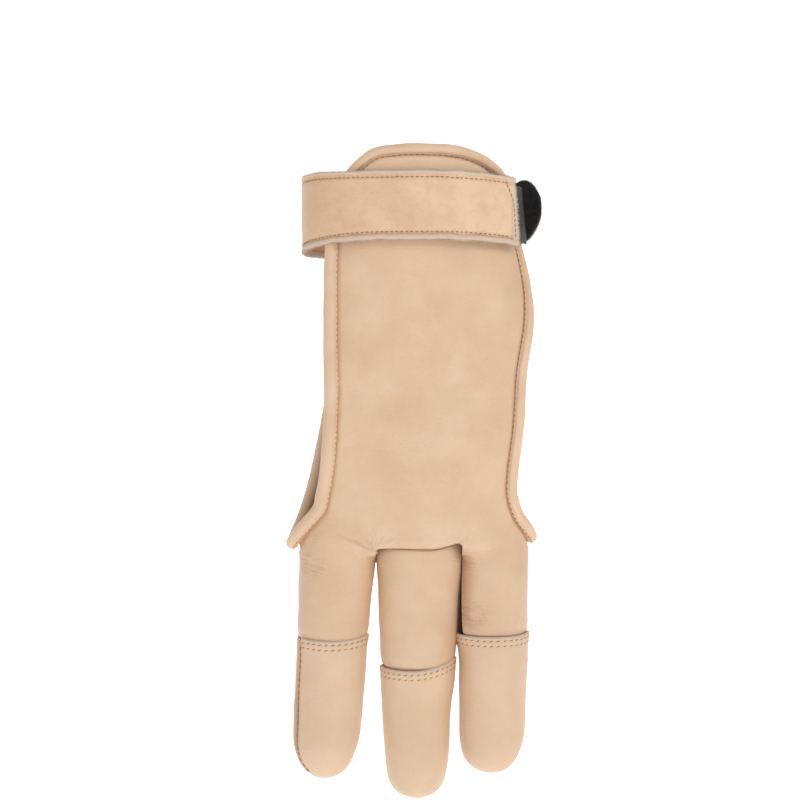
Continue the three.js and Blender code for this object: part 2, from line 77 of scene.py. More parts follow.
def bell(x, width):
    return np.exp(-((np.asarray(x, float) / width) ** 2))


def along(xs, ys, at):  # a smooth curve through points, level beyond its ends
    xs, ys = np.asarray(xs, float), np.asarray(ys, float)
    count = len(xs)
    before, after = np.maximum(np.arange(count) - 1, 0), np.minimum(np.arange(count) + 1, count - 1)
    slope = (ys[after] - ys[before]) / (xs[after] - xs[before])
    at = np.clip(np.asarray(at, float), xs[0], xs[-1])
    i = np.clip(np.searchsorted(xs, at, side="right") - 1, 0, count - 2)
    run = xs[i + 1] - xs[i]
    t = (at - xs[i]) / run
    rise = (3 * t**2 - 2 * t**3) * (ys[i + 1] - ys[i]) + ys[i]
    return rise + (t**3 - 2 * t**2 + t) * run * slope[i] + (t**3 - t**2) * run * slope[i + 1]


hand = table(  # shares of palmDrop, palmWidth and palmDepth, and the exponent of the section
    "along shift width palm back square",
    [
        (-0.234, -0.01, 0.75, 0.618, 0.588, 2.3),
        (0, -0.006, 0.775, 0.632, 0.588, 2.3),
        (0.113, 0.002, 0.812, 0.632, 0.574, 2.4),
        (0.234, 0.01, 0.88, 0.594, 0.515, 2.7),
        (0.42, 0.03, 0.976, 0.538, 0.45, 3.0),
        (0.615, 0.034, 1.0, 0.494, 0.412, 3.0),
        (0.781, 0.016, 0.966, 0.441, 0.388, 2.9),
        (0.898, -0.003, 0.917, 0.4, 0.374, 2.8),
        (1, -0.006, 0.9, 0.371, 0.359, 2.8),
    ],
)
fingers = {
    "index": {
        "root": -24.93, "length": 73.8, "width": 24.6, "depth": 23.4, "curl": 0.03, "capDrop": 28.9,
        "rows": table("along wide side", [
            (-0.199, 0.94, 0.02), (-0.034, 1.0, 0.0), (0.09, 0.972, -0.01), (0.256, 0.935, -0.04),
            (0.431, 0.927, -0.062), (0.607, 0.91, -0.094), (0.752, 0.888, -0.118), (0.845, 0.852, -0.136),
            (0.902, 0.752, -0.148), (0.948, 0.608, -0.15), (0.981, 0.4, -0.15), (0.998, 0.15, -0.15)]),
    },
    "middle": {
        "root": 1.31, "length": 80.1, "width": 26.6, "depth": 24.6, "curl": 0.03, "capDrop": 37.3,
        "rows": table("along wide side", [
            (-0.176, 0.9, 0.0), (-0.031, 1.0, 0.0), (0.093, 0.985, 0.0), (0.196, 0.947, -0.008),
            (0.402, 0.905, -0.019), (0.505, 0.898, -0.015), (0.639, 0.83, -0.03), (0.804, 0.78, -0.03),
            (0.887, 0.728, -0.03), (0.938, 0.636, -0.03), (0.973, 0.466, -0.03), (0.997, 0.17, -0.03)]),
    },
    "ring": {
        "root": 25.58, "length": 72.0, "width": 21.2, "depth": 21.6, "curl": 0.03, "capDrop": 27.2,
        "rows": table("along wide side", [
            (-0.2, 0.95, -0.02), (-0.035, 1.0, 0.0), (0.089, 1.0, -0.009), (0.224, 1.036, -0.033),
            (0.452, 1.052, -0.024), (0.627, 1.01, -0.038), (0.793, 0.988, -0.052), (0.865, 0.94, -0.06),
            (0.922, 0.822, -0.075), (0.964, 0.63, -0.085), (0.988, 0.4, -0.085), (0.998, 0.15, -0.085)]),
    },
}


def handPoint(angle, z, offset=0.0):
    share = -np.asarray(z, float) / form["palmDrop"]
    power = 2 / along(hand["along"], hand["square"], share)
    c, s = np.cos(angle), np.sin(angle)
    halfWidth = along(hand["along"], hand["width"], share) * form["palmWidth"] / 2 + offset
    palm, back = (along(hand["along"], hand[side], share) for side in ("palm", "back"))
    depth = np.where(s < 0, palm, back) * form["palmDepth"] + offset
    shift = along(hand["along"], hand["shift"], share) * form["palmWidth"]
    x = shift + halfWidth * np.sign(c) * np.abs(c) ** power
    y = depth * np.sign(s) * np.abs(s) ** power
    return np.stack(np.broadcast_arrays(x, y, z), -1)


def handNormal(angle, z):
    run = handPoint(angle + 0.01, z) - handPoint(angle - 0.01, z)
    across = np.stack([run[..., 1], -run[..., 0], 0 * run[..., 0]], -1)
    return across / np.linalg.norm(across, axis=-1, keepdims=True)


def handAngle(x, z, side):
    share = -z / form["palmDrop"]
    middle = along(hand["along"], hand["shift"], share) * form["palmWidth"]
    halfWidth = along(hand["along"], hand["width"], share) * form["palmWidth"] / 2
    c = np.clip((x - middle) / halfWidth, -1, 1)
    c = np.sign(c) * np.abs(c) ** (along(hand["along"], hand["square"], share) / 2)
    return turn - np.arccos(c) if side == "palm" else np.arccos(c)


def fingerSection(name, z):
    finger = fingers[name]
    share = (-form["palmDrop"] - np.asarray(z, float)) / finger["length"]
    rows = finger["rows"]
    wide = along(rows["along"], rows["wide"], share)
    x = finger["root"] + along(rows["along"], rows["side"], share) * finger["width"]
    y = -finger["curl"] * finger["length"] * np.maximum(share, 0) ** 2
    return x, y, wide * finger["width"] / 2, wide * finger["depth"] / 2


# Where the stalls swell towards each other: how far, with the side as its sign, and the drops that bound it.
swellings = [
    {"index": 0.0, "middle": 0.8, "ring": -1.5, "drops": (100, 108, 131, 145)},
    {"index": 0.75, "middle": -0.75, "ring": 0.0, "drops": (98, 105, 112, 136)},
]


def fingerPoint(name, angle, z, offset=0.0):
    x, y, halfWidth, halfDepth = fingerSection(name, z)
    z = np.asarray(z, float)
    for swelling in swellings:
        start, full, fade, end = swelling["drops"]
        span = smoothstep(-z, start, full) * (1 - smoothstep(-z, fade, end))
        toward = np.sign(swelling[name]) * np.cos(angle)
        halfWidth = halfWidth + abs(swelling[name]) * smoothstep(toward, 0.2, 0.9) * span
    return np.stack(np.broadcast_arrays(
        x + np.maximum(halfWidth + offset, 0.2) * np.cos(angle),
        y + np.maximum(halfDepth + offset, 0.2) * np.sin(angle), z), -1)


def capTop(name):
    return -form["palmDrop"] - fingers[name]["capDrop"]


def fingerTip(name):
    return -form["palmDrop"] - fingers[name]["length"]


# Meshes: grids that a mapping bends, and what cuts, smooths and thickens them.
def coords(bm):
    return np.array([v.co for v in bm.verts], float).reshape(-1, 3)


def setCoords(bm, co):
    for vert, point in zip(bm.verts, co.tolist()):
        vert.co = point


def vertNormals(bm):
    bm.normal_update()
    return np.array([v.normal for v in bm.verts], float).reshape(-1, 3)


def setLayer(bm, name, values):
    layer = bm.verts.layers.float.get(name) or bm.verts.layers.float.new(name)
    for vert, value in zip(bm.verts, np.asarray(values, float).tolist()):
        vert[layer] = value


def addGrid(bm, across, down, mapping):  # mapping takes shares across and down and returns points
    made = bmesh.ops.create_grid(bm, x_segments=across, y_segments=down, size=0.5)["verts"]
    flat = np.array([v.co for v in made], float) + 0.5
    points = mapping(flat[:, 0], flat[:, 1])
    for vert, point in zip(made, points.tolist()):
        vert.co = point
    bmesh.ops.remove_doubles(bm, verts=made, dist=0.002)


def addLoft(bm, around, levels, surface):  # a closed form whose end rings shrink to a point
    levels = np.concatenate([levels[:1], levels, levels[-1:]])
    down = len(levels) - 1

    def mapping(u, v):
        row = np.rint(v * down).astype(int)
        points = surface(turn * u, levels[row])
        for end, beside in ((0, 1), (down, down - 1)):
            points[row == end] = points[row == beside].mean(0)
        return points

    addGrid(bm, around, down, mapping)


def evaluated(bm, name, modifiers, materials=()):
    mesh = bpy.data.meshes.new(name)
    bm.to_mesh(mesh)
    for material in materials:
        mesh.materials.append(material)
    holder = bpy.data.objects.new(name, mesh)
    scene.collection.objects.link(holder)
    for kind, settings in modifiers:
        modifier = holder.modifiers.new(kind.lower(), kind)
        for key, value in settings.items():
            setattr(modifier, key, value)
    graph = bpy.context.evaluated_depsgraph_get()
    result = holder.evaluated_get(graph)
    made = bpy.data.meshes.new_from_object(result, preserve_all_data_layers=True, depsgraph=graph)
    bpy.data.objects.remove(holder)
    return made


def remeshed(bm, voxel):
    bmesh.ops.recalc_face_normals(bm, faces=bm.faces)
    mesh = evaluated(bm, "remeshed", [
        ("REMESH", {"mode": "VOXEL", "voxel_size": detail(voxel), "adaptivity": 0}),
        ("SMOOTH", {"factor": 0.5, "iterations": form["smoothRounds"]}),
    ])
    bm.free()
    made = bmesh.new()
    made.from_mesh(mesh)
    bpy.data.meshes.remove(mesh)
    return made


def faceFront(bm):  # recalculates the normals of an open sheet and turns them out towards the front
    bmesh.ops.recalc_face_normals(bm, faces=bm.faces)
    if vertNormals(bm)[np.argmin(coords(bm)[:, 1])][1] > 0:
        bmesh.ops.reverse_faces(bm, faces=bm.faces)


def relax(bm, weight):  # evens out the vertices of a mesh, each by its weight
    co = coords(bm)
    bm.verts.index_update()
    ends = np.array([(e.verts[0].index, e.verts[1].index) for e in bm.edges])
    a, b = np.concatenate([ends[:, 0], ends[:, 1]]), np.concatenate([ends[:, 1], ends[:, 0]])
    count = np.maximum(np.bincount(a, minlength=len(co)), 1)
    for _ in range(form["relaxRounds"]):
        mean = np.stack([np.bincount(a, co[b, k], len(co)) / count for k in range(3)], -1)
        co += (mean - co) * weight[:, None]
    setCoords(bm, co)


def cutAlong(bm, field):  # keeps what lies where the field is below zero
    bm.verts.index_update()
    value = field(coords(bm))
    value = np.where(np.abs(value) < 0.01, -0.01, value)
    crossing = [e for e in bm.edges if value[e.verts[0].index] * value[e.verts[1].index] < 0]
    shares = {}
    for e in crossing:
        start, end = value[e.verts[0].index], value[e.verts[1].index]
        shares[e] = float(start / (start - end))
    made = bmesh.ops.bisect_edges(bm, edges=crossing, cuts=1, edge_percents=shares)["geom_split"]
    fresh = [v for v in made if isinstance(v, bmesh.types.BMVert)]
    bmesh.ops.connect_verts(bm, verts=fresh)
    bm.faces.ensure_lookup_table()
    middles = np.array([f.calc_center_median() for f in bm.faces], float)
    gone = [f for f, v in zip(bm.faces, field(middles)) if v > 0]
    bmesh.ops.delete(bm, geom=gone, context="FACES")
    keepLargest(bm)


def keepLargest(bm):
    left = set(bm.faces)
    islands = []
    while left:
        island, edge = set(), [left.pop()]
        while edge:
            face = edge.pop()
            island.add(face)
            near = {other for e in face.edges for other in e.link_faces if other in left}
            left -= near
            edge.extend(near)
        islands.append(island)
    islands.sort(key=len)
    for island in islands[:-1]:
        bmesh.ops.delete(bm, geom=list(island), context="FACES")
    bmesh.ops.delete(bm, geom=[v for v in bm.verts if not v.link_faces], context="VERTS")


def polygonDistance(points, outline):  # below zero inside the outline
    nearest = np.full(len(points), 1e9)
    inside = np.zeros(len(points), bool)
    px, py = points[:, 0], points[:, 1]
    for (ax, ay), (bx, by) in zip(outline, np.roll(outline, -1, 0)):
        run = np.array([bx - ax, by - ay])
        t = np.clip(((px - ax) * run[0] + (py - ay) * run[1]) / max(run @ run, 1e-9), 0, 1)
        nearest = np.minimum(nearest, np.hypot(px - ax - t * run[0], py - ay - t * run[1]))
        if ay != by:
            inside ^= ((ay > py) != (by > py)) & (px < (bx - ax) * (py - ay) / (by - ay) + ax)
    return np.where(inside, -nearest, nearest)


def rumple(points, size):  # smooth noise from -1 to 1
    return np.array([noise.noise(Vector(p)) for p in (points / size).tolist()])


def arcLengths(points):
    return np.concatenate([[0], np.cumsum(np.linalg.norm(np.diff(points, axis=0), axis=1))])


def atLengths(at, lengths, values):  # each column of values, read off between its stations
    return np.stack([np.interp(at, lengths, column) for column in values.T], -1)


def resample(points, step):
    lengths = arcLengths(points)
    count = max(int(round(lengths[-1] / step)), 2)
    return atLengths(np.linspace(0, lengths[-1], count + 1), lengths, points)


def placePiece(name, mesh, nodes=()):
    mesh.transform(Matrix.Scale(mm, 4))
    mesh.shade_smooth()
    piece = bpy.data.objects.new(name, mesh)
    scene.collection.objects.link(piece)
    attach(piece, "root")
    if nodes:
        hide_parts(*nodes)
    print("placed", name, len(mesh.polygons))


# Materials.
class Wire:
    def __init__(self, tree, socket):
        self.tree, self.socket = tree, socket

    def node(self, kind, settings, inputs, output=0):
        made = self.tree.nodes.new(kind)
        for key, value in settings.items():
            setattr(made, key, value)
        for key, value in inputs.items():
            if isinstance(value, Wire):
                self.tree.links.new(value.socket, made.inputs[key])
            else:
                made.inputs[key].default_value = value
        return Wire(self.tree, made.outputs[output])

    def math(self, operation, *others):
        return self.node("ShaderNodeMath", {"operation": operation}, dict(enumerate((self, *others))))

    def __add__(self, other):
        return self.math("ADD", other)

    def __mul__(self, other):
        return self.math("MULTIPLY", other)

    def __sub__(self, other):
        return self.math("SUBTRACT", other)

    def __rsub__(self, other):
        return self * -1 + other

    def __truediv__(self, other):
        return self.math("DIVIDE", other)

    __radd__ = __add__
    __rmul__ = __mul__

    def ramp(self, low, high, start=0.0, end=1.0):
        settings = {"interpolation_type": "SMOOTHSTEP"}
        return self.node("ShaderNodeMapRange", settings, {0: self, 1: low, 2: high, 3: start, 4: end})

    def noise(self, size, octaves, rough):  # self is a place in metres, size is in millimetres
        inputs = {"Vector": self, "Scale": 1000 / size, "Detail": octaves, "Roughness": rough}
        return self.node("ShaderNodeTexNoise", {}, inputs)

    def cells(self, size):
        return self.node("ShaderNodeTexVoronoi", {}, {"Vector": self, "Scale": 1000 / size})

    def blend(self, first, second):  # self is the share of the second colour
        return self.node("ShaderNodeMix", {"data_type": "RGBA"}, {0: self, 6: first, 7: second}, 2)

    def attribute(self, name):
        return self.node("ShaderNodeAttribute", {"attribute_name": name}, {}, 2)

    def axes(self):
        return [self.node("ShaderNodeSeparateXYZ", {}, {0: self}, k) for k in range(3)]

    def joined(self, y, z):
        return self.node("ShaderNodeCombineXYZ", {}, {0: self, 1: y, 2: z})

    def bump(self, strength):  # self is the height in millimetres
        return self.node("ShaderNodeBump", {}, {"Height": self, "Strength": strength, "Distance": mm})


def colour(red, green, blue):  # from screen values
    shares = (red / 255, green / 255, blue / 255)
    return tuple(((c + 0.055) / 1.055) ** 2.4 if c > 0.04 else c / 12.92 for c in shares) + (1,)


def newMaterial(name, settings):
    material = bpy.data.materials.new(name)
    material.use_nodes = True
    tree = material.node_tree
    shader = next(n for n in tree.nodes if n.type == "BSDF_PRINCIPLED")
    for key, value in settings.items():
        shader.inputs[key].default_value = value
    place = Wire(tree, tree.nodes.new("ShaderNodeTexCoord").outputs["Object"])
    return material, shader, place


def feed(shader, key, wire):
    wire.tree.links.new(wire.socket, shader.inputs[key])


# Fine wrinkles: a fan spreads from x, z over a reach, and a pleat runs level over one; all in millimetres.
fans = [(-13.4, -107.4, 15.0, 0.45), (14.4, -105.6, 9.0, 0.3)]
pleats = [
    (-32.0, -111.5, 7.0, 0.5), (18.5, -127.0, 7.0, 0.7), (15.5, -110.0, 6.0, 0.5), (-30.0, -99.0, 7.0, 0.3)]


def wrinkles(place):  # the height of the wrinkles and the painted shade along the lines at their feet
    x, _, z = (axis * 1000 for axis in place.axes())
    height, troughShade = x * 0, x * 0
    for pattern in ("fan", "pleat"):
        for cx, cz, reach, deep in (fans if pattern == "fan" else pleats):
            dx, dz = x - cx, z - cz
            radius = (dx * dx + dz * dz).math("SQRT")
            near = radius.ramp(reach, 1.0) * radius.ramp(0.3, 3.0) * deep
            if pattern == "fan":
                near = near * dz.ramp(-4.0, 2.0)
                ways = (dz.math("ARCTAN2", dx) * 4.5).joined(radius * 0.11, cx)
            else:
                ways = (x * 0.2).joined(z * 0.95 + x * 0.1, cx)
            ridges = ways.node("ShaderNodeTexNoise", {}, {"Vector": ways, "Scale": 1.0, "Detail": 2.0})
            away = (ridges - 0.5).math("ABSOLUTE")
            height = height + away * near
            troughShade = troughShade + away.ramp(0.05, 0.0) * near
    return height, troughShade


def leather(name, look):
    material, shader, place = newMaterial(name, {"Specular IOR Level": look["shine"], "IOR": 1.45})
    clouds = place.noise(look["cloudSize"], 4.0, 0.55)
    spots = place.noise(look["spotSize"], 3.0, 0.6)
    fine = place.noise(0.55, 3.0, 0.6)
    creased = place.attribute("crease")
    edge = place.attribute("edgeShade")
    base = clouds.ramp(0.25, 0.75).blend(look["dark"], look["light"])
    base = (spots.ramp(0.45, 0.72) * look["spots"]).blend(base, look["tint"])
    base = (fine.ramp(0.5, 0.8) * 0.45).blend(base, look["dark"])
    base = (place.noise(1.6, 2.0, 0.6).ramp(0.5, 0.8) * 0.3).blend(base, look["tint"])
    if look["wrinkled"]:
        folds, troughShade = wrinkles(place)
        # painted shade: the troughs of the wrinkles are darkened towards the deep brown
        base = (troughShade * 0.25).blend(base, look["deep"])
        # painted light: from 7 to 10 mm up, above the strap, the leather is painted paler
        base = (place.axes()[2] * 1000).ramp(7.0, 10.0, 0.0, 0.7).blend(base, look["paintedLight"])
    base = (creased.ramp(0.0, 1.0) * look["creaseShade"]).blend(base, look["deep"])
    base = (edge.ramp(0.0, 1.0) * look["edgeShade"]).blend(base, look["deep"])
    base = (place.axes()[0] * 1000).ramp(-32.0, 14.0, look["leftShade"], 0.0).blend(base, look["tint"])
    raw = place.attribute("raw")
    fibres = place.noise(0.35, 3.0, 0.7)
    base = (raw + (fibres - 0.5) * 0.9 * raw.ramp(0.02, 0.3)).ramp(0.3, 0.75).blend(base, look["raw"])
    feed(shader, "Base Color", base)
    feed(shader, "Roughness", clouds * 0.12 + fine * 0.14 + look["rough"] + raw * 0.3)
    grain = place.cells(0.62)
    pores = place.cells(0.9).ramp(0.0, 0.22, -1.0, 0.0)
    height = grain * -0.05 + fine * 0.07 + pores * 0.03 + spots * 0.05
    height = height + fibres * raw * 0.3
    if look["wrinkled"]:
        height = height + folds * 2.0
    feed(shader, "Normal", height.bump(look["grain"]))
    return material


leatherLook = {
    "light": colour(227, 197, 167),
    "dark": colour(216, 181, 148),
    "tint": colour(226, 186, 150),
    # the next colour is painted light, laid on the leather above the strap
    "paintedLight": colour(241, 209, 177),
    # the brown that painted shade in creases, wrinkles and along edges blends towards
    "deep": colour(160, 102, 63),
    "raw": colour(226, 203, 182),
    "cloudSize": 17.0,
    "spotSize": 4.5,
    "spots": 0.34,
    "creaseShade": 0.34,
    "leftShade": 0.0,
    "edgeShade": 0.6,
    "rough": 0.36,
    "shine": 0.42,
    "grain": 1.25,
    "wrinkled": False,
}
capLook = dict(leatherLook, light=colour(229, 199, 170), dark=colour(219, 187, 157), rough=0.33)
strapLook = dict(
    leatherLook, light=colour(235, 203, 170), dark=colour(223, 189, 156), cloudSize=12.0, rough=0.38,
    tint=colour(212, 168, 134), leftShade=0.35)
bindingLook = dict(
    leatherLook, light=colour(230, 199, 170), dark=colour(220, 186, 155), cloudSize=9.0, grain=0.6)
fleshLook = dict(
    leatherLook, light=colour(206, 171, 141), dark=colour(186, 149, 118), rough=0.62, shine=0.15, grain=1.0,
    spots=0.6)
rawLook = dict(
    leatherLook, light=colour(228, 203, 178), dark=colour(205, 172, 142), rough=0.6, shine=0.12, grain=1.0,
    cloudSize=1.6, spotSize=0.7)
outside = leather("tan_outside", dict(leatherLook, wrinkled=True))
inside = leather("flesh_side", fleshLook)
rawEdge = leather("raw_edge", rawLook)
capOutside = leather("cap_outside", capLook)
strapOutside = leather("strap_outside", strapLook)
bindingOutside = leather("binding_outside", bindingLook)
tanSides = [outside, inside, rawEdge]  # face, flesh side and rim
capSheet = [capOutside, inside, rawEdge]


def cloth(name, look):
    settings = {"Specular IOR Level": look["shine"], "Sheen Weight": look["sheen"]}
    material, shader, place = newMaterial(name, settings)
    tufts = place.noise(look["tuftSize"], 4.0, 0.7)
    fine = place.noise(0.25, 2.0, 0.6)
    feed(shader, "Base Color", tufts.ramp(0.3, 0.7).blend(look["dark"], look["light"]))
    feed(shader, "Roughness", fine * 0.2 + look["rough"])
    feed(shader, "Normal", (tufts * 0.2 + fine * 0.1).bump(1.0))
    return material


loopCloth = cloth("loop_cloth", {
    "light": colour(52, 51, 53), "dark": colour(20, 19, 20), "tuftSize": 0.7,
    "rough": 0.8, "shine": 0.2, "sheen": 0.1})
hookCloth = cloth("hook_cloth", {
    "light": colour(80, 75, 74), "dark": colour(38, 35, 36), "tuftSize": 0.5,
    "rough": 0.45, "shine": 0.45, "sheen": 0.0})
threadBrown = cloth("thread_brown", {
    "light": colour(188, 143, 97), "dark": colour(138, 97, 58), "tuftSize": 0.6,
    "rough": 0.6, "shine": 0.25, "sheen": 0.0})
fuzzPale = cloth("fuzz_pale", {
    "light": colour(233, 219, 204), "dark": colour(205, 181, 157), "tuftSize": 1.2,
    "rough": 0.8, "shine": 0.1, "sheen": 0.0})
fuzzBlack = cloth("fuzz_black", {
    "light": colour(66, 65, 68), "dark": colour(22, 21, 23), "tuftSize": 1.0,
    "rough": 0.7, "shine": 0.2, "sheen": 0.0})
print("materials made")

# The path of the binding, as reach, height, lift and wide: reach is a share of half palmWidth, height one of
# palmDrop below the origin (negative) or of the rise above it, lift is how far it stands off the form and wide a
# share of the binding's width.
palmEdge = [
    (-0.863, -0.953, 0.9, 1.04), (-0.74, -0.89, 0.2, 1.1), (-0.707, -0.84, 0, 1.13),
    (-0.677, -0.778, 0, 1.14),
    (-0.655, -0.688, 0, 1.14), (-0.638, -0.543, 0, 1.14), (-0.643, -0.4, 0, 1.14), (-0.64, -0.257, 0, 1.14),
    (-0.626, -0.098, 0, 1.12), (-0.59, -0.025, 0, 0.95), (-0.54, 0.32, 0, 0.9), (-0.455, 0.64, 0, 0.85),
    (-0.31, 0.92, 0, 0.85), (-0.12, 0.99, 0, 0.85), (0.05, 1.0, 0, 0.85), (0.25, 0.985, 0, 0.85),
    (0.41, 0.92, 0, 0.85), (0.545, 0.78, 0, 0.85), (0.665, 0.5, 0, 0.85), (0.71, 0.08, 0, 0.85),
    (0.74, -0.059, 0, 0.85), (0.795, -0.137, 0, 0.85), (0.851, -0.253, 0, 0.85), (0.827, -0.428, 0, 0.85),
    (0.793, -0.543, 0, 0.85), (0.759, -0.717, 0, 0.85), (0.737, -0.805, 0, 0.85), (0.744, -0.856, 0.1, 0.85),
    (0.81, -0.92, 0.3, 0.9),
]
backEdge = [
    (0.83, -0.932, 0.3, 0.9), (0.752, -0.868, 0.1, 0.85), (0.727, -0.791, 0, 0.85), (0.745, -0.586, 0, 0.85),
    (0.745, -0.371, 0, 0.85), (0.71, -0.156, 0, 0.85), (0.65, 0.1, 0, 0.85), (0.53, 0.75, 0, 0.85),
    (0.3, 0.97, 0, 0.85), (0.0, 1.0, 0, 0.85), (-0.3, 0.97, 0, 0.85), (-0.5, 0.75, 0, 0.85),
    (-0.6, 0.1, 0, 0.9), (-0.63, -0.156, 0, 1.0), (-0.66, -0.371, 0, 1.0), (-0.695, -0.586, 0, 1.0),
    (-0.79, -0.781, 0, 1.0), (-0.835, -0.859, 0.2, 1.0), (-0.888, -0.94, 0.9, 1.0),
]
binding = {"width": 4.1, "height": 3.6, "raise": 0.4, "around": 28, "pitch": 1.75}
sideLow = {"index": (-0.996, 2.0, 1.05), "ring": (-0.98, 0.8, 0.95)}  # height, lift and wide at the low ends


def edgeStations(step):
    rows = []
    halves = (("palm", palmEdge, "tongueRise", 0), ("back", backEdge, "backRise", turn))
    for side, stations, rise, shift in halves:
        low, angle = (sideLow["index"], math.pi) if side == "palm" else (sideLow["ring"], turn)
        rows.append((angle, low[0] * form["palmDrop"], low[1], low[2]))
        for reach, height, lift, wide in stations:
            z = height * (form["palmDrop"] if height < 0 else form[rise])
            rows.append((handAngle(reach * form["palmWidth"] / 2, z, side) + shift, z, lift, wide))
    rows = np.array(rows)
    ahead, behind = rows[:3] + [turn, 0, 0, 0], rows[-3:] - [turn, 0, 0, 0]
    wrapped = np.concatenate([behind, rows, ahead])
    reach = form["palmWidth"] / 2
    gaps = np.hypot(np.diff(wrapped[:, 0]) * reach, np.diff(wrapped[:, 1]))
    at = np.concatenate([[0], np.cumsum(np.sqrt(gaps))])
    fine = np.linspace(at[3], at[3 + len(rows)], 6000)
    trail = np.stack([along(at, wrapped[:, k], fine) for k in range(4)], -1)
    points = handPoint(trail[:, 0], trail[:, 1], trail[:, 2] - form["leatherWall"] / 2)
    lengths = arcLengths(points)
    count = int(lengths[-1] / step)
    even = np.arange(count) * lengths[-1] / count
    trail, points = atLengths(even, lengths, trail), atLengths(even, lengths, points)
    normals = handNormal(trail[:, 0], trail[:, 1])
    forward = np.roll(points, -1, 0) - np.roll(points, 1, 0)
    forward /= np.linalg.norm(forward, axis=1, keepdims=True)
    across = np.cross(forward, normals)
    across /= np.linalg.norm(across, axis=1, keepdims=True)
    return {"points": points, "across": across, "up": np.cross(across, forward), "wide": trail[:, 3],
            "palm": trail[:, 0] < turn, "run": even}


edge = edgeStations(detail(0.6))


def insideEdge(side):
    line = edge["points"][edge["palm"] == (side == "palm")][:, [0, 2]][::2]
    first, last, far = line[0], line[-1], 400
    return np.array([
        [np.sign(first[0]) * far, -far], [np.sign(first[0]) * far, first[1]], *line,
        [np.sign(last[0]) * far, last[1]], [np.sign(last[0]) * far, -far]])


palmOutline, backOutline = insideEdge("palm"), insideEdge("back")
edgeTree = KDTree(len(edge["points"]))
for index, point in enumerate(edge["points"]):
    edgeTree.insert(point, index)
edgeTree.balance()


def fromFoot(co, panel):  # how far each point lies from the foot of the binding
    away = np.full(len(co), 9.0)
    for i in np.nonzero(panel < 5)[0]:
        _, at, distance = edgeTree.find(co[i])
        away[i] = distance - 0.5 * binding["width"] * edge["wide"][at]
    return away

# The seam across the root of the middle finger, x and z.
middleSeam = table("x z", [
    (-12.9, -109.2), (-12.2, -107.0), (-10.0, -106.4), (-5.4, -106.3), (1.7, -106.8), (6.5, -106.7),
    (10.3, -105.6), (13.1, -104.9), (14.2, -105.2), (14.8, -106.6)])


def seamHeight(x):
    return along(middleSeam["x"], middleSeam["z"], x)


def indexSeam(z):  # the x of the index finger's outer side seam
    x, _, halfWidth, _ = fingerSection("index", z)
    low = fingerTip("index") + 7.4
    share = 0.87 + (0.3 / 0.45 - 0.87) * smoothstep(-z, -low, -low + 6)
    share = share + 0.3 * smoothstep(z, capTop("index") - 1, capTop("index"))
    return np.where(z < -form["palmDrop"] + 2, x - share * halfWidth, -400)


# Creases of the front leather: from x, z to x, z, width, depth and bend.
creases = [
    (-13.6, -107.6, -25.5, -101.6, 0.75, 0.34, 0.8),
    (-13.4, -107.0, -21.4, -102.6, 0.6, 0.3, 0.5),
    (-13.2, -106.6, -18.4, -100.4, 0.6, 0.32, 0.4),
    (-12.9, -106.2, -15.4, -99.0, 0.55, 0.28, -0.3),
    (-12.6, -105.8, -13.0, -99.4, 0.5, 0.26, -0.4),
    (-31.0, -101.8, -35.0, -109.8, 0.8, 0.2, -0.6),
    (-35.0, -108.2, -28.4, -109.6, 0.5, 0.14, -0.4),
    (-35.2, -110.6, -29.0, -111.8, 0.5, 0.24, 0.4),
    (-35.2, -113.2, -29.8, -114.0, 0.5, 0.2, -0.3),
    (12.6, -104.8, 16.4, -102.0, 0.55, 0.3, 0.3),
    (14.0, -107.2, 18.2, -106.0, 0.5, 0.24, 0.3),
    (14.0, -124.6, 18.4, -125.8, 0.5, 0.26, 0.3),
    (13.8, -127.2, 18.0, -128.2, 0.5, 0.26, -0.3),
    (14.0, -129.8, 17.6, -130.6, 0.45, 0.22, 0.3),
]


def creased(co):  # how deep the creases are at each point
    depth = np.zeros(len(co))
    for ax, az, bx, bz, width, deep, bend in creases:
        run = np.array([bx - ax, bz - az])
        length = np.hypot(*run)
        t = np.clip(((co[:, 0] - ax) * run[0] + (co[:, 2] - az) * run[1]) / length**2, 0, 1)
        sway = bend * 4 * t * (1 - t)
        dx = co[:, 0] - ax - t * run[0] - sway * run[1] / length
        dz = co[:, 2] - az - t * run[1] + sway * run[0] / length
        off = np.hypot(dx, dz)
        fade = 0.35 + 0.65 * smoothstep(1 - t, 0.0, 0.6)
        depth += 0.42 * deep * fade * (bell(off, width) - 0.35 * bell(off - 2.1 * width, width))
    return depth


def fingerForm(bm, name, around, clampLow=-99, clampHigh=99, slim=0.0):
    finger = fingers[name]
    top = -form["palmDrop"] - finger["rows"]["along"][0] * finger["length"]
    knee = -form["palmDrop"] - 0.8 * finger["length"]
    low = -form["palmDrop"] - finger["rows"]["along"][-1] * finger["length"]
    rounded = knee + (low - knee) * np.sin(np.linspace(0.06, math.pi / 2, 24))
    levels = np.concatenate([np.linspace(top, knee, 50), rounded])

    def surface(angle, z):
        points = fingerPoint(name, angle, z)
        points[:, 1] = np.clip(points[:, 1], clampLow, clampHigh)
        facing = np.where(np.cos(angle) > 0, name != "ring", name != "index")
        apart = (name == "middle") * (np.cos(angle) > 0) + (name == "ring")  # these part further down
        start = 103 + 25 * apart
        points[:, 0] -= slim * facing * np.cos(angle) * smoothstep(-z, start, start + 10)
        return points

    addLoft(bm, around, levels, surface)


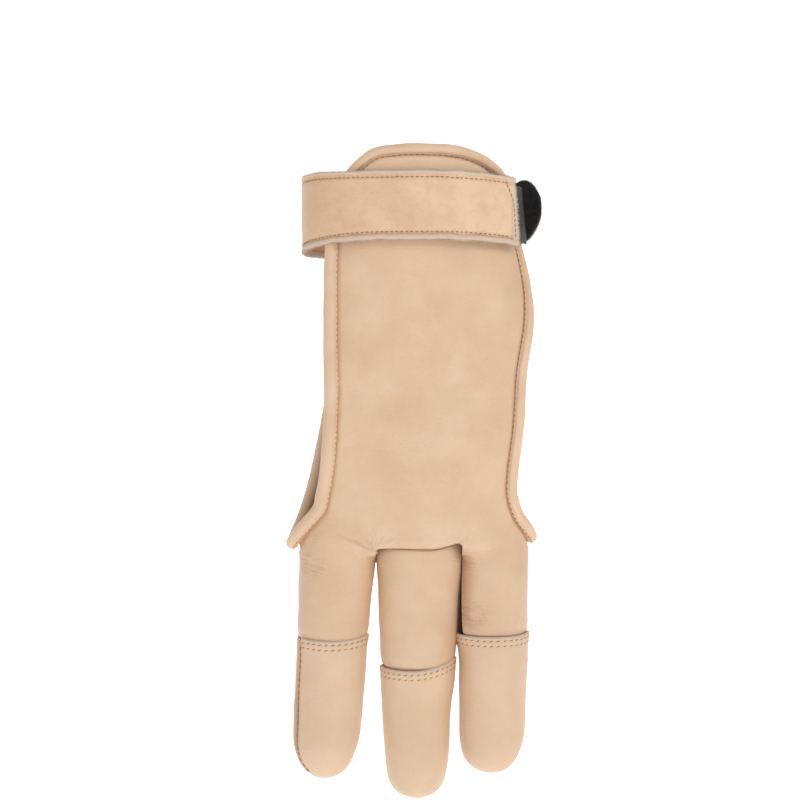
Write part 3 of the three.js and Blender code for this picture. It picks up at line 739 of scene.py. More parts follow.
def handForm(bm, around, clampLow=-99, clampHigh=99, web=3.0):
    bottom = -form["palmDrop"] - web
    levels = np.linspace(24, bottom, 90)

    def surface(angle, z):
        inward = -3.2 * (np.clip(-form["palmDrop"] + 1.5 - z, 0, 5) / 4.5) ** 2
        points = handPoint(angle, z, inward)
        points[:, 1] = np.clip(points[:, 1], clampLow, clampHigh)
        return points

    addLoft(bm, around, levels, surface)


def stallDip(co, name):  # how far the front of a stall sinks before and under its cap
    past = capTop(name) - co[:, 2]
    return 0.35 * smoothstep(past, -3.0, -0.3) + 0.9 * smoothstep(past, -0.2, 1.4)


def thickened(bm, wall, materials, name):
    return evaluated(bm, name, [("SOLIDIFY", {
        "thickness": wall, "offset": -1, "use_rim": True, "material_offset": 1, "material_offset_rim": 2,
        "use_even_offset": False})], materials)


# The palm leather: the panel, its tongue and the fronts of the index and ring fingers, with the depths and
# shades of its folds, of the tuck at the foot of the binding and of the curls along the seams.
palmFolds = {
    "fold": 0.5,
    "smallFold": 0.22,
    "tuck": 0.5,
    "curl": 0.6,
    "rootCurl": 0.22,
    "footShade": 0.7,
    "thumbFootShade": 0.42,
    "sewnShade": 0.8,
    "innerShade": 0.5,
    "rootShade": 0.9,
    "flankShade": 0.75,
}


def palmField(co):
    x, y, z = co.T
    panel = polygonDistance(co[:, [0, 2]], palmOutline)
    front = np.maximum(y + 0.15, indexSeam(z) + 0.15 - x)
    side = np.where(x < 0, capTop("index"), capTop("ring"))
    low = side - 5 - z
    middle = np.minimum(np.minimum(seamHeight(x) + 0.12 - z, x + 12.4), 14.6 - x)
    return np.maximum.reduce([panel, front, low, middle])


def palmLeather():
    bm = bmesh.new()
    handForm(bm, 220, clampHigh=3.0)
    fingerForm(bm, "index", 110, clampHigh=3.0)
    fingerForm(bm, "ring", 110, clampHigh=3.0)
    bm = remeshed(bm, form["frontVoxel"])
    co = coords(bm)
    weight = 0.5 * smoothstep(-co[:, 2], 92, 104) * (1 - smoothstep(-co[:, 2], 112, 122))
    forks = [bell(co[:, 0] - x, wide) for x, wide in ((-36, 9), (-13, 7), (15, 7))]
    weight *= 0.25 + 0.75 * np.maximum.reduce(forks)
    relax(bm, weight)
    cutAlong(bm, palmField)
    co, normals = coords(bm), vertNormals(bm)
    side = co[:, 0] < 0
    dip = np.where(side, stallDip(co, "index"), stallDip(co, "ring")) * (co[:, 2] < -112)
    panel = -polygonDistance(co[:, [0, 2]], palmOutline)
    crease = creased(co)
    fold = palmFolds["fold"] * rumple(co, 26) + palmFolds["smallFold"] * rumple(co + 90, 9)
    seam = np.abs(np.maximum(co[:, 1] + 0.15, indexSeam(co[:, 2]) + 0.15 - co[:, 0]))
    seam = np.where(co[:, 2] < -104, seam, 9)
    middle = np.where((co[:, 0] > -12.6) & (co[:, 0] < 14.8), co[:, 2] - seamHeight(co[:, 0]), 9)
    free = 1 - bell(co[:, 0] - 14.5, 3) * (co[:, 2] > -136)
    curl = palmFolds["curl"] * free * (1 - smoothstep(seam, 0, 1.3))
    curl += palmFolds["rootCurl"] * (1 - smoothstep(np.abs(middle), 0, 1.0))
    foot = fromFoot(co, panel)
    tuck = palmFolds["tuck"] * bell(foot - 0.1, 0.7)
    setCoords(bm, co - normals * (dip + crease + curl + tuck - fold * smoothstep(panel, 1, 8))[:, None])
    setLayer(bm, "crease", np.clip(crease / 0.3, 0, 1))
    inner = np.abs(co[:, 0] - 0.5) < 19
    footShade = np.where(co[:, 0] < -8, palmFolds["thumbFootShade"], palmFolds["footShade"])
    sewnShade = np.where(inner, palmFolds["innerShade"], palmFolds["sewnShade"])
    shade = footShade * bell(foot - 0.1, 0.6) + sewnShade * (1 - smoothstep(seam, 0, 1.5))
    shade += palmFolds["rootShade"] * (1 - smoothstep(np.abs(middle), 0, 0.6))
    flank = (1 - smoothstep(co[:, 0], 14.2, 20.5)) * smoothstep(co[:, 0], 13, 14)
    flank *= smoothstep(-co[:, 2], 105, 111) * (1 - smoothstep(-co[:, 2], 129, 136))
    shade += palmFolds["flankShade"] * flank
    setLayer(bm, "edgeShade", shade)
    return bm


palmSheet = thickened(palmLeather(), form["leatherWall"], tanSides, "palm_look")
placePiece("palm_leather_look", palmSheet, ["palm_leather"])


# The back leather: the back panel and the backs of the fingers.
backFolds = {
    "fold": 0.5,
    "smallFold": 0.2,
    "tuck": 0.4,
    "curl": 0.5,
    "knuckles": (103.0, 106.4, 128.0, 130.6),  # the drops of its creases
    "knuckleDeep": 0.35,
    "footShade": 0.7,
    "sewnShade": 0.8,
}


def backField(co):
    x, y, z = co.T
    panel = polygonDistance(co[:, [0, 2]], backOutline)
    notFront = np.minimum(0.15 - y, x - indexSeam(z) + 0.15)
    return np.maximum(panel, notFront)


def backLeather():
    bm = bmesh.new()
    handForm(bm, 200, clampLow=-9.0, web=5.8)
    for name in fingers:
        fingerForm(bm, name, 96, clampLow=-10.0, slim=0.9)
    bm = remeshed(bm, form["backVoxel"])
    co = coords(bm)
    weight = 0.5 * smoothstep(-co[:, 2], 92, 104) * (1 - smoothstep(-co[:, 2], 114, 124))
    relax(bm, weight)
    cutAlong(bm, backField)
    co, normals = coords(bm), vertNormals(bm)
    panel = -polygonDistance(co[:, [0, 2]], backOutline)
    seam = np.abs(np.minimum(0.15 - co[:, 1], co[:, 0] - indexSeam(co[:, 2]) + 0.15))
    seam = np.where(co[:, 2] < -104, seam, 9)
    curl = backFolds["curl"] * (1 - smoothstep(seam, 0, 1.4))
    fold = backFolds["fold"] * rumple(co + 40, 24) + backFolds["smallFold"] * rumple(co + 10, 8)
    knuckle = sum(backFolds["knuckleDeep"] * bell(co[:, 2] + drop, 0.9) for drop in backFolds["knuckles"])
    knuckle = knuckle * smoothstep(co[:, 1], 4, 9) * (0.5 + 0.5 * rumple(co * [1, 1, 0.2], 5))
    foot = fromFoot(co, panel)
    sink = curl + backFolds["tuck"] * bell(foot - 0.1, 0.7) + knuckle - fold * smoothstep(panel, 1, 8)
    setCoords(bm, co - normals * sink[:, None])
    setLayer(bm, "crease", np.clip(knuckle / backFolds["knuckleDeep"], 0, 1))
    shade = backFolds["footShade"] * bell(foot - 0.1, 0.6)
    setLayer(bm, "edgeShade", shade + backFolds["sewnShade"] * (1 - smoothstep(seam, 0, 1.6)))
    return bm


backSheet = thickened(backLeather(), form["leatherWall"], tanSides, "back_look")
placePiece("back_leather_look", backSheet, ["back_leather"])


# The front of the middle finger, set in across its root.
middleFolds = {
    "rootDip": 0.3,
    "rootTuck": 1.0,
    "sideTuck": 0.5,
    "wrinkles": ((-109.6, 0.03), (-139.2, 0.03)),  # height and depth of each
    "fold": 0.3,
    "rootShade": 0.9,
    "sideShade": 0.5,
}


def middleFront():
    bm = bmesh.new()
    low = capTop("middle") - 5

    def mapping(u, v):
        angle = math.pi + 0.02 + (math.pi - 0.04) * u
        x = fingerPoint("middle", angle, -107.0)[:, 0]
        top = seamHeight(x) + 1.2
        z = top + (low - top) * v
        points = fingerPoint("middle", angle, z)
        outward = np.stack([np.cos(angle), np.sin(angle), 0 * angle], -1)
        edgeways = np.minimum(u, 1 - u) * 36
        sink = middleFolds["rootDip"] * (1 - smoothstep(top - z, 1.2, 2.2))
        sink = sink + middleFolds["rootTuck"] * (1 - smoothstep(top - z, 0.6, 1.25))
        pressed = (u > 0.5) & (z > -140)  # here the stall lies against the ring stall
        sink = sink + middleFolds["sideTuck"] * (1 - smoothstep(edgeways, 0, 1.3)) * np.where(pressed, 0, 1)
        sink = sink + stallDip(points, "middle")
        return points - outward * sink[:, None]

    addGrid(bm, detail(150), detail(130), mapping)
    faceFront(bm)
    co, normals = coords(bm), vertNormals(bm)
    wrinkle = 0
    for z, deep in middleFolds["wrinkles"]:
        wrinkle = wrinkle + deep * bell(co[:, 2] - z - 0.5 * rumple(co * [1, 1, 0] + z, 5), 0.5)
    wrinkle = wrinkle * (0.55 + 0.45 * rumple(co + 7, 6))
    setCoords(bm, co + normals * (middleFolds["fold"] * rumple(co + 20, 14) - wrinkle)[:, None])
    setLayer(bm, "crease", np.clip(wrinkle / 0.2, 0, 1))
    root = 1 - smoothstep(seamHeight(co[:, 0]) - co[:, 2], 0, 0.5)
    flank = 1 - smoothstep(np.abs(co[:, 1] + 0.15), 0, 1.5)
    setLayer(bm, "edgeShade", middleFolds["rootShade"] * root + middleFolds["sideShade"] * flank)
    return bm


middleSheet = thickened(middleFront(), form["leatherWall"], tanSides, "middle_look")
placePiece("middle_front_look", middleSheet, ["middle_front"])

# The caps, second layers over the fronts of the fingertips; each edge is a row of x shares and drops.
caps = {
    "index": [(-1, 0.0), (-0.5, 0.0), (0, 0.1), (0.5, -0.1), (1, -0.45)],
    "middle": [(-1, 1.15), (-0.5, 1.0), (0, 0.8), (0.5, -0.2), (1, -1.6)],
    "ring": [(-1, 0.8), (-0.5, 0.6), (0, 0.4), (0.5, 0.35), (1, 0.4)],
}
capLip = {
    "wall": 0.25,
    "round": 0.65,
    "inner": 4.0,  # how far the lip runs down inside
    "proud": 0.35,
    "rows": (1.3, 2.8),  # from the edge down to the stitches
    "sideTuck": 0.65,
    "lap": 1.2,  # over the back leather at the tip
}


def capEdge(name, angle):
    shares, drops = zip(*caps[name])
    return capTop(name) - along(shares, drops, np.cos(angle))


def capSides(name, z):  # the angles at which a cap meets the back leather
    _, y, _, halfDepth = fingerSection(name, z)
    lapped = capLip["lap"] * (1 - smoothstep(z, fingerTip(name) + 2, fingerTip(name) + 9))
    past = np.arcsin(np.clip((lapped - 0.15 - y) / halfDepth, -1, 1))
    if name != "index":
        return math.pi - past, turn + past
    low = np.minimum(z, capTop(name) - 1.2)
    x, _, halfWidth, _ = fingerSection(name, low)
    return math.pi + np.arccos(np.clip((x - indexSeam(low)) / halfWidth, -1, 1)), turn + past


def capMesh(name):
    bm = bmesh.new()
    tip = fingerTip(name) + 0.15
    outer, lip, inner = detail((110, 10, 12))
    rows = outer + lip + inner

    def mapping(u, v):
        row = np.rint(v * rows)
        start, end = capSides(name, capTop(name) - 1 + 0 * u)
        edgeZ = capEdge(name, start + (end - start) * u)
        tipward = np.clip(row / outer, 0, 1)
        z = tip + (edgeZ - capLip["round"] - tip) * (1 - np.cos(tipward * math.pi / 2)) ** 0.9
        bend = np.clip((row - outer) / lip, 0, 1) * math.pi
        offset = capLip["proud"] * smoothstep(z, edgeZ - 5, edgeZ - 1) - capLip["round"] * (1 - np.cos(bend))
        z = z + capLip["round"] * np.sin(bend)
        z = z - capLip["inner"] * np.clip((row - outer - lip) / inner, 0, 1)
        start, end = capSides(name, z)
        angle = start + (end - start) * u
        points = fingerPoint(name, angle, z)
        outward = np.stack([np.cos(angle), np.sin(angle), 0 * angle], -1)
        beside = np.minimum(u, 1 - u) * 34
        sink = capLip["sideTuck"] * (1 - smoothstep(beside, 0, 1.4)) * smoothstep(z, tip + 2, tip + 8)
        lapped = 0.2 * (1 - smoothstep(z, tip + 2, tip + 9))
        return points + outward * (offset + lapped - sink)[:, None]

    addGrid(bm, detail(150), rows, mapping)
    faceFront(bm)
    co, normals = coords(bm), vertNormals(bm)
    x, y, halfWidth, halfDepth = fingerSection(name, co[:, 2])
    angle = np.arctan2((co[:, 1] - y) / halfDepth, (co[:, 0] - x) / halfWidth)
    below = capEdge(name, angle) - co[:, 2]
    radius = np.hypot((co[:, 0] - x) / halfWidth, (co[:, 1] - y) / halfDepth)
    groove = 0.2 * sum(bell(below - drop, 0.35) for drop in capLip["rows"]) * (radius > 0.97)
    setCoords(bm, co + normals * (0.28 * rumple(co + 60, 12) * smoothstep(below, 1, 4) - groove)[:, None])
    ragged = rumple(co, 1.1) * 0.25
    raw = (1 - smoothstep(below + ragged, 0.55, 0.95)) * smoothstep(co[:, 2], tip + 20, tip + 22)
    setLayer(bm, "raw", raw)
    setLayer(bm, "crease", 0.3 * groove / 0.2)
    seam = np.abs(np.sin(angle)) * halfDepth
    if name == "index":  # its outer seam lies on the front; 9 puts a place out of a seam's reach
        outer = np.abs(co[:, 0] - indexSeam(co[:, 2])) + 9 * (angle > -1)
        seam = np.minimum(seam + 9 * (np.cos(angle) < 0), outer)
    setLayer(bm, "edgeShade", 0.6 * (1 - smoothstep(seam, 0, 2.0)))
    return bm


capTrees = {}
for name in caps:
    capBm = capMesh(name)
    capTrees[name] = BVHTree.FromBMesh(capBm)
    cap = thickened(capBm, capLip["wall"], capSheet, f"{name}_cap")
    placePiece(f"{name}_cap_look", cap, [f"{name}_cap"])


# The rolled binding round every open edge.
def bindingMesh():
    bm = bmesh.new()
    count = len(edge["points"])

    def mapping(u, v):
        row = np.rint(v * count).astype(int) % count
        c, s = np.cos(turn * u), np.sin(turn * u)
        wide, points = edge["wide"][row], edge["points"][row]
        pucker = 0.5 + 0.5 * np.cos(turn * edge["run"][row] / binding["pitch"])
        swell = 0.16 * rumple(points + 30, 7) + 0.07 * rumple(points + 5, 2.2)
        sink = bell(turn * u - 0.35, 0.3) * (0.25 + 0.25 * pucker) - swell
        a = wide * binding["width"] / 2 * c - sink * c
        b = wide * binding["height"] / 2 * s + binding["raise"] - sink * s
        return points + edge["across"][row] * a[:, None] + edge["up"][row] * b[:, None]

    addGrid(bm, binding["around"], count, mapping)
    faceFront(bm)
    return bm


bindingBm = bindingMesh()
bindingTree = BVHTree.FromBMesh(bindingBm)


def plain(bm, name, materials):
    mesh = bpy.data.meshes.new(name)
    bm.to_mesh(mesh)
    for material in materials:
        mesh.materials.append(material)
    return mesh


bindingRoll = plain(bindingBm, "binding", [bindingOutside])
placePiece("edge_binding_look", bindingRoll, ["edge_binding"])

# The wrist strap with its closing tab, and the tapes.
strap = {
    "wall": 2.0,
    "squareEnd": -0.67,
    "tabStart": 0.62,
    "underLift": 1.075,
    "tapeLift": 1.2,
    "tapeArc": 0.6,
    "height": 22.0,
    "tabDrop": -0.1,
    "tabReach": 4.2,
    "tabForward": 5.6,
    "tabHeight": 17.8,
    "tapeHeight": 20.0,
    "pitch": 1.5,
    "seamIn": 2.15,  # from the edge in to the stitches
    "hookShow": 0.27,  # in radians, how far the hook tape stands out past the square end
    "slant": 2.2,  # how much further the square end reaches at the bottom
    "rawTop": 1.15,
    "rawBottom": 1.5,
    "grooveDeep": 0.34,
    "groove": 0.42,
    "pile": 0.14,
    "endSeam": (1.5, 3.8),  # from the square end in to its stitches, below and at the top
    "seamSpan": 21.5,  # the height that the end stitches' shading is spread over
    "hookTop": 5.9,
    "hookBottom": -11.4,
    "hookWall": 0.9,
    "hookSlant": 1.9,
    "loopWall": 1.4,
    "loopStart": 12,  # how many stations of the tab its tape leaves free
}
strapEdges = table(  # top and bottom by the angle round the wrist
    "angle top bottom",
    [(0.6, 9.2, -12.4), (1.6, 9.5, -12.6), (2.6, 10.0, -13.0), (3.2, 10.1, -13.5), (3.7, 9.5, -13.1),
     (4.2, 8.7, -12.3), (4.7, 8.4, -12.2), (5.3, 7.9, -12.6), (5.8, 7.3, -13.3), (6.1, 7.1, -13.6)])


def strapLine(offset, past=0.0):
    angle = np.linspace(turn + strap["squareEnd"] + past, strap["tabStart"], 700)
    fromEnd = turn + strap["squareEnd"] - angle
    near = 1 - smoothstep(fromEnd, strap["tapeArc"], 2 * strap["tapeArc"])
    lift = strap["underLift"] + strap["tapeLift"] * near + strap["wall"] / 2
    points = handPoint(angle, -strap["height"] / 2, lift)
    points[:, 2] = 0
    normals = handNormal(angle, -strap["height"] / 2 + 0 * angle)
    return points + normals * offset, normals, angle


def tabLine(offset, stretch=0.0):
    points, normals, angle = strapLine(0)
    start, heading = points[-1], points[-1] - points[-2]
    heading = heading / np.linalg.norm(heading)
    side = handPoint(0.0, -strap["height"] / 2, strap["underLift"] + strap["wall"] / 2) * [1, 1, 0]
    tip = side + [strap["tabReach"], -strap["tabForward"], 0]
    bend = side + [0.4, -0.6 * strap["tabForward"], 0]
    lead = start + heading * 0.55 * np.linalg.norm(side - start)
    out = (tip - bend) / np.linalg.norm(tip - bend)
    t = np.linspace(0, 1, 80)[:, None]
    end = tip + out * stretch
    line = (1 - t) ** 3 * start + 3 * (1 - t) ** 2 * t * lead + 3 * (1 - t) * t**2 * bend + t**3 * end
    forward = np.gradient(line, axis=0)
    forward /= np.linalg.norm(forward, axis=1, keepdims=True)
    normals = np.stack([-forward[:, 1], forward[:, 0], 0 * forward[:, 0]], -1)
    return line + normals * offset, normals


def endRound(points, height):  # half height by the distance that is left to the end
    gaps = np.linalg.norm(np.diff(points, axis=0), axis=1)
    left = np.concatenate([np.cumsum(gaps[::-1])[::-1], [0]])
    radius = height / 2
    d = np.minimum(left + 0.2, radius)
    return np.sqrt(radius**2 - (radius - d) ** 2)


def bandMesh(points, normals, top, bottom, wall, step, faceRows, shape):
    lengths = arcLengths(points)
    steps = int(lengths[-1] / step)
    run = np.linspace(0, lengths[-1], steps + 1)
    line, out = atLengths(run, lengths, points), atLengths(run, lengths, normals)
    high, low = np.interp(run, lengths, top), np.interp(run, lengths, bottom)
    bend = np.linspace(0, math.pi, 7)[1:-1]
    face = np.linspace(0, 1, faceRows + 1)
    radius = wall / 2
    # the section: share of the height, extra height, share of half the wall
    section = [(s, 0.0, 1.0) for s in face] + [(1.0, radius * math.sin(b), math.cos(b)) for b in bend]
    section += [(s, 0.0, -1.0) for s in face[::-1]]
    section += [(0.0, -radius * math.sin(b), -math.cos(b)) for b in bend]
    share, extra, side = (np.array(c) for c in zip(*section))
    count = len(section)
    bm = bmesh.new()

    def mapping(u, v):
        row, col = np.rint(v * steps).astype(int), np.rint(u * count).astype(int) % count
        insetLow, insetHigh = low[row] + radius * 0.8, high[row] - radius * 0.8
        z = insetLow + (insetHigh - insetLow) * share[col] + extra[col] * 0.8
        thick = side[col] * radius * np.where((row == 0) | (row == steps), 0.55, 1)
        points = line[row] + out[row] * thick[:, None]
        points[:, 2] = z
        return shape(points, out[row], run[row], z, low[row], high[row], side[col])

    addGrid(bm, count, steps, mapping)
    bmesh.ops.holes_fill(bm, edges=[e for e in bm.edges if e.is_boundary], sides=0)
    bmesh.ops.recalc_face_normals(bm, faces=bm.faces)
    return bm


def endSeam(share):  # how far the end stitches lie from the square end, by the share of the height
    low, high = strap["endSeam"]
    return low + (high - low) * smoothstep(share, 0.6, 0.95)


def slanted(out, run, share):  # shifts the square end, more at the bottom
    ahead = np.cross([0, 0, 1], out)
    return ahead * (strap["slant"] * (1 - share) * np.clip(1 - run / 9, 0, 1))[:, None]


def strapWave(run, row, size):  # noise along the strap, a row of it for each use
    return rumple(np.stack([run, row + 0 * run, 0 * run], -1), size)


def strapMesh():
    points, normals, angle = strapLine(0)
    tabPoints, tabNormals = tabLine(0)
    top = along(strapEdges["angle"], strapEdges["top"], angle)
    bottom = along(strapEdges["angle"], strapEdges["bottom"], angle)
    half = endRound(tabPoints, strap["tabHeight"])
    keep = half / (strap["tabHeight"] / 2)
    tabTop, tabBottom = half - strap["tabDrop"], -half - strap["tabDrop"]
    ease = smoothstep(np.linspace(0, 1, len(half)), 0, 0.4)
    tabTop = np.where(keep > 0.999, top[-1] + (tabTop - top[-1]) * ease, tabTop)
    tabBottom = np.where(keep > 0.999, bottom[-1] + (tabBottom - bottom[-1]) * ease, tabBottom)
    line = np.concatenate([points, tabPoints[1:]])
    out = np.concatenate([normals, tabNormals[1:]])
    top, bottom = np.concatenate([top, tabTop[1:]]), np.concatenate([bottom, tabBottom[1:]])

    def shape(points, out, run, z, low, high, side):
        highWave = 0.32 * strapWave(run, 0, 5.5) + 0.16 * strapWave(run, 9, 1.9)
        lowWave = 0.38 * strapWave(run, 40, 5.0) + 0.2 * strapWave(run, 60, 1.7)
        share = (z - low) / np.maximum(high - low, 1)
        points[:, 2] += highWave * smoothstep(share, 0.75, 1) + lowWave * (1 - smoothstep(share, 0, 0.25))
        under, over = high - z, z - low
        pucker, endPucker = (0.6 + 0.4 * np.cos(turn * place / strap["pitch"]) for place in (run, z))
        groove = pucker * sum(bell(away - strap["seamIn"], strap["groove"]) for away in (under, over))
        groove = strap["grooveDeep"] * (groove + endPucker * bell(run - endSeam(share), strap["groove"]))
        swell = 0.22 * rumple(points + 70, 11) + 0.06 * rumple(points, 3)
        pile = strap["pile"] * rumple(points + 11, 0.6)
        cut = 1 - np.minimum(smoothstep(under, 0, strap["rawTop"]), smoothstep(over, 0, strap["rawBottom"]))
        ledge = 0.3 * bell(over - strap["rawBottom"] - 0.1, 0.22)
        ledge += 0.2 * bell(under - strap["rawTop"] - 0.1, 0.2)
        push = np.where(side > 0, swell - groove + pile * cut - ledge + 0.25 * cut, swell + 0.5 * groove)
        points += slanted(out, run, share)
        return points + out * push[:, None]

    bm = bandMesh(line, out, top, bottom, strap["wall"], detail(0.5), detail(44), shape)
    co = coords(bm)
    spot = np.zeros(len(co), int)
    for start in range(0, len(co), 4000):  # in parts, to save memory
        away = co[start:start + 4000, None, :2] - line[None, :, :2]
        spot[start:start + 4000] = np.argmin((away**2).sum(-1), 1)
    run = arcLengths(line)[spot]
    fromTop, fromBottom = top[spot] - co[:, 2], co[:, 2] - bottom[spot]
    ragged = 0.3 * rumple(co, 0.9)
    rawTop, rawBottom = strap["rawTop"], strap["rawBottom"]
    raw = np.maximum(
        1 - smoothstep(fromTop + ragged, rawTop - 0.35, rawTop + 0.15),
        1 - smoothstep(fromBottom + ragged, rawBottom - 0.4, rawBottom + 0.15))
    raw = np.maximum(raw, 1 - smoothstep(run + ragged, 0.6, 1.2))
    setLayer(bm, "raw", raw)
    atEnd = run - endSeam(fromBottom / strap["seamSpan"])
    seams = (fromTop - strap["seamIn"], fromBottom - strap["seamIn"], atEnd)
    setLayer(bm, "crease", 0.6 * sum(bell(away, 0.5) for away in seams))
    shade = 0.8 * bell(fromBottom - rawBottom - 0.2, 0.25) + 0.4 * bell(fromTop - rawTop - 0.15, 0.2)
    setLayer(bm, "edgeShade", shade)
    return bm, line, out, top, bottom


strapBm, strapPath, strapOut, strapTop, strapBottom = strapMesh()
strapTree = BVHTree.FromBMesh(strapBm)
placePiece("wrist_strap_look", plain(strapBm, "strap", [strapOutside]), ["wrist_strap"])


def hookTape():
    wall = strap["hookWall"]
    points, normals, angle = strapLine(-(strap["wall"] + wall) / 2 - 0.15, strap["hookShow"])
    keep = angle > turn + strap["squareEnd"] - strap["tapeArc"]
    points, normals = points[keep], normals[keep]
    top, bottom = (np.full(len(points), strap[side]) for side in ("hookTop", "hookBottom"))

    def shape(points, out, run, z, low, high, side):
        shift = strap["hookSlant"] * slanted(out, run, (z - low) / np.maximum(high - low, 1))
        return points + shift + out * (0.08 * rumple(points, 0.9))[:, None]

    return bandMesh(points, normals, top, bottom, wall, 0.4, 44, shape)


placePiece("hook_tape_look", plain(hookTape(), "hook", [hookCloth]), ["hook_tape"])


def loopTape():
    wall = strap["loopWall"]
    points, normals = tabLine(-(strap["wall"] + wall) / 2 - 0.1, 0.9)
    half = endRound(points, strap["tapeHeight"])
    points, normals, half = (values[strap["loopStart"]:] for values in (points, normals, half))

    def shape(points, out, run, z, low, high, side):
        return points + out * (0.16 * rumple(points, 1.1))[:, None]

    return bandMesh(points, normals, half - strap["tabDrop"], -half - strap["tabDrop"], wall, 0.4, 44, shape)


loopBm = loopTape()
placePiece("loop_tape_look", plain(loopBm, "loop", [loopCloth]), ["loop_tape"])


# Stitches, laid on the finished surfaces.
def stitchRow(bm, tree, line, pitch, length, radius, slant=0.0, lift=0.05, sunk=None):
    points = resample(np.asarray(line, float), pitch)
    for before, after in zip(points[:-1], points[1:]):
        spot, normal, _, distance = tree.find_nearest(Vector((before + after) / 2))
        if distance > 3.0:
            continue
        ahead = Vector(after - before)
        ahead = (ahead - normal * ahead.dot(normal)).normalized()
        beside = normal.cross(ahead)
        swing = slant + dice.uniform(-0.12, 0.12)
        run = ahead * math.cos(swing) + beside * math.sin(swing)
        over = normal.cross(run)
        size = length * dice.uniform(0.88, 1.08)
        deep = sunk(spot) if sunk else 0.0
        stance = Matrix((over, normal, run)).transposed().to_4x4()
        stance.translation = spot + normal * (lift - deep)
        shape = Matrix.Diagonal((radius, radius * 0.8, size / 2, 1))
        bmesh.ops.create_uvsphere(bm, u_segments=8, v_segments=5, radius=1, matrix=stance @ shape)


def placeStitches(name, bm):
    placePiece(name, plain(bm, name, [threadBrown]))


thread = {  # pitch, length and radius of the stitches in each kind of row
    "strap": (strap["pitch"], 1.1, 0.17),
    "binding": (binding["pitch"], 1.1, 0.125),
    "capTop": (2.05, 1.2, 0.18),
    "capSide": (1.9, 1.3, 0.09),
    "indexSide": (1.9, 1.3, 0.23),
}
bm = bmesh.new()
lengths = arcLengths(strapPath)
lift = strapPath + strapOut * (strap["wall"] / 2)
usable = lengths > 2.6
for level in (strapTop - strap["seamIn"], strapBottom + strap["seamIn"]):
    line = lift.copy()
    line[:, 2] = level
    stitchRow(bm, strapTree, line[usable][:-40], *thread["strap"])
height = np.linspace(strapTop[0] - strap["seamIn"], strapBottom[0] + strap["seamIn"], 24)
share = (height - strapBottom[0]) / (strapTop[0] - strapBottom[0])
endLine = atLengths(endSeam(share), lengths, lift)
endLine[:, 2] = height
endLine += slanted(np.array([strapOut[0]] * 24), endSeam(share), share)
stitchRow(bm, strapTree, endLine, *thread["strap"])
placeStitches("strap_stitches", bm)

def onThumbSide(spot):  # there the stitches lie deeper in the binding's groove
    return 0.085 * (spot.x < -8 and spot.y < 0 and spot.z < -4)


bm = bmesh.new()
path = edge["points"] + edge["across"] * (edge["wide"] * binding["width"] / 2)[:, None]
path += edge["up"] * (0.2 * edge["wide"] * binding["height"])[:, None]
stitchRow(bm, bindingTree, np.concatenate([path, path[:1]]), *thread["binding"], 0.1, 0.03, onThumbSide)
placeStitches("binding_stitches", bm)

bm = bmesh.new()
for name in caps:
    start, end = (float(side) for side in capSides(name, np.array(capTop(name) - 2)))
    angle = np.linspace(start + 0.12, end - 0.14, 90)
    for drop in capLip["rows"]:
        row = fingerPoint(name, angle, capEdge(name, angle) - drop)
        stitchRow(bm, capTrees[name], row, *thread["capTop"], 0.45, 0.02)
    for side, inward in ((0, 0.06), (1, -0.06)):
        shown = name == "index" and side == 0
        z = np.linspace(capTop(name) - 2.5, fingerTip(name) + (3 if shown else 7), 60)
        line = fingerPoint(name, capSides(name, z)[side] + inward, z, -0.1)
        kind, lift = ("indexSide", 0.16) if shown else ("capSide", -0.05)
        stitchRow(bm, capTrees[name], line, *thread[kind], 0.1, lift)
placeStitches("cap_stitches", bm)
print("stitches laid")


# Loose fibres on the raw edges and the nap of the loop tape.
def addFibre(bm, spot, way, length, radius):
    rotation = way.to_track_quat("Z", "Y").to_matrix().to_4x4()
    rotation.translation = spot + way * length / 2
    bmesh.ops.create_cone(
        bm, segments=3, radius1=radius, radius2=radius * 0.3, depth=length, matrix=rotation, cap_ends=False)


def scattered(way):
    return (way + Vector([dice.gauss(0, 0.5) for _ in range(3)])).normalized()


bm = bmesh.new()
for _ in range(detail(5200)):
    i = dice.randrange(len(strapPath) - 60)
    up = dice.random() < 0.5
    spot = strapPath[i] + strapOut[i] * dice.uniform(-0.9, 1.0)
    spot[2] = (strapTop if up else strapBottom)[i]
    found, normal = strapTree.find_nearest(Vector(spot))[:2]
    way = scattered(normal)
    addFibre(bm, found - way * 0.05, way, dice.uniform(0.3, 0.9), 0.045)
for _ in range(detail(1100)):  # the frayed square end
    share = dice.random()
    spot = strapPath[0] + strapOut[0] * dice.uniform(-0.9, 1.0)
    spot = spot + slanted(strapOut[:1], np.zeros(1), share)[0]
    spot[2] = strapBottom[0] + (strapTop[0] - strapBottom[0]) * share
    found = strapTree.find_nearest(Vector(spot))[0]
    way = scattered(Vector(np.cross([0, 0, 1], strapOut[0])))
    addFibre(bm, found - way * 0.05, way, dice.uniform(0.35, 0.9), 0.07)
placePiece("strap_fibres", plain(bm, "strap_fibres", [fuzzPale]))

bm = bmesh.new()
loopFaces = list(loopBm.faces)
for _ in range(detail(6000)):
    face = dice.choice(loopFaces)
    way = scattered(face.normal)
    addFibre(bm, face.calc_center_median() - way * 0.05, way, dice.uniform(0.3, 0.8), 0.04)
placePiece("loop_nap", plain(bm, "loop_nap", [fuzzBlack]))
print("fibres laid")

# The stage, the lights and the camera, all in metres.
stageLook = {"floor": -0.26, "back": 0.9, "front": -2, "wide": 6, "high": 3, "glow": 0.55, "room": 0.33}


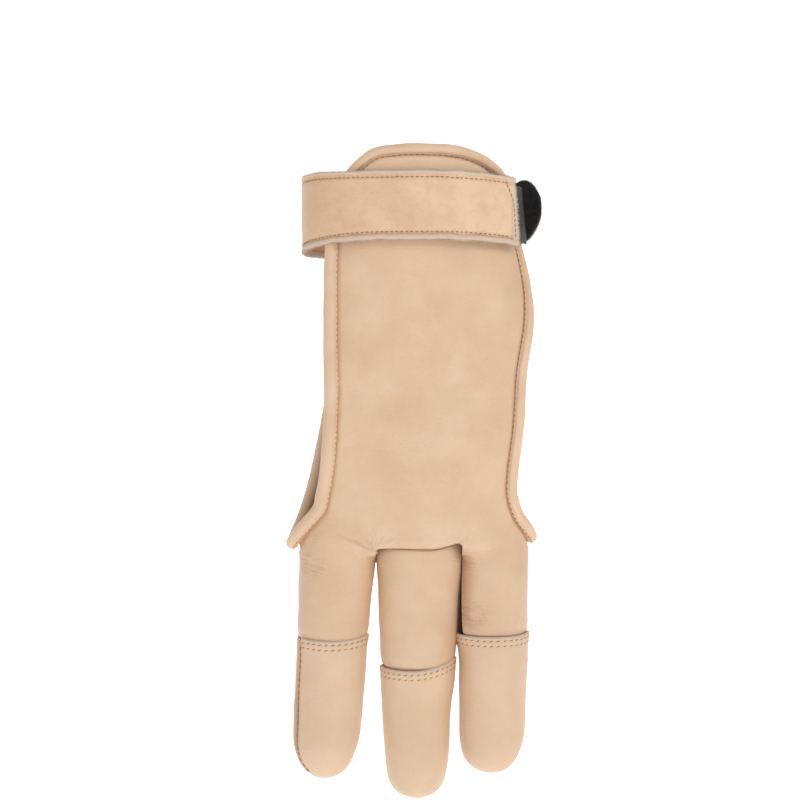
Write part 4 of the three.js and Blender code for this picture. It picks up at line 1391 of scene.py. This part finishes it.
def paperSweep(u, v):  # level up to the back, then upright
    y = stageLook["front"] + (stageLook["back"] - stageLook["front"]) * np.clip(v * 2, 0, 1)
    z = stageLook["floor"] + stageLook["high"] * np.clip(v - 0.5, 0, 1) * 2
    return np.stack([(u - 0.5) * stageLook["wide"], y, z], -1)


bm = bmesh.new()
addGrid(bm, 2, 40, paperSweep)
paper = newMaterial("paper", {
    "Base Color": (0.9, 0.9, 0.9, 1), "Roughness": 0.9, "Emission Color": (1, 1, 1, 1),
    "Emission Strength": stageLook["glow"]})[0]
floor = bpy.data.objects.new("floor", plain(bm, "floor", [paper]))
scene.collection.objects.link(floor)

world = bpy.data.worlds.new("room")
scene.world = world
world.use_nodes = True
background = world.node_tree.nodes["Background"]
background.inputs["Color"].default_value = (1, 1, 1, 1)
background.inputs["Strength"].default_value = stageLook["room"]

lamps = {  # place, target, size and power
    "key": ((0.5, -0.75, 0.4), (0, 0, -0.08), 0.5, 2.76),
    "top": ((0.1, -0.25, 0.55), (0, 0, 0), 0.4, 0.44),
    "fill": ((-0.7, -0.7, 0.1), (0, 0, -0.08), 0.7, 1.08),
    "low": ((0.1, -0.8, -0.5), (0, 0, -0.12), 0.6, 0.68),
}
for name, (place, target, size, power) in lamps.items():
    data = bpy.data.lights.new(name, "AREA")
    data.shape, data.size, data.energy = "DISK", size, power
    lamp = bpy.data.objects.new(name, data)
    lamp.location = place
    lamp.rotation_euler = (Vector(target) - Vector(place)).to_track_quat("-Z", "Y").to_euler()
    scene.collection.objects.link(lamp)

view = {"place": (-0.0048, -0.3555, -0.06016), "lens": 50, "sensor": 36, "near": 0.01, "far": 20}
lens = bpy.data.cameras.new("lens")
lens.lens, lens.sensor_width = view["lens"], view["sensor"]
lens.clip_start, lens.clip_end = view["near"], view["far"]
camera = bpy.data.objects.new("camera", lens)
camera.location = view["place"]
camera.rotation_euler = (math.pi / 2, 0, 0)
scene.collection.objects.link(camera)
scene.camera = camera
scene.view_settings.view_transform = "Standard"
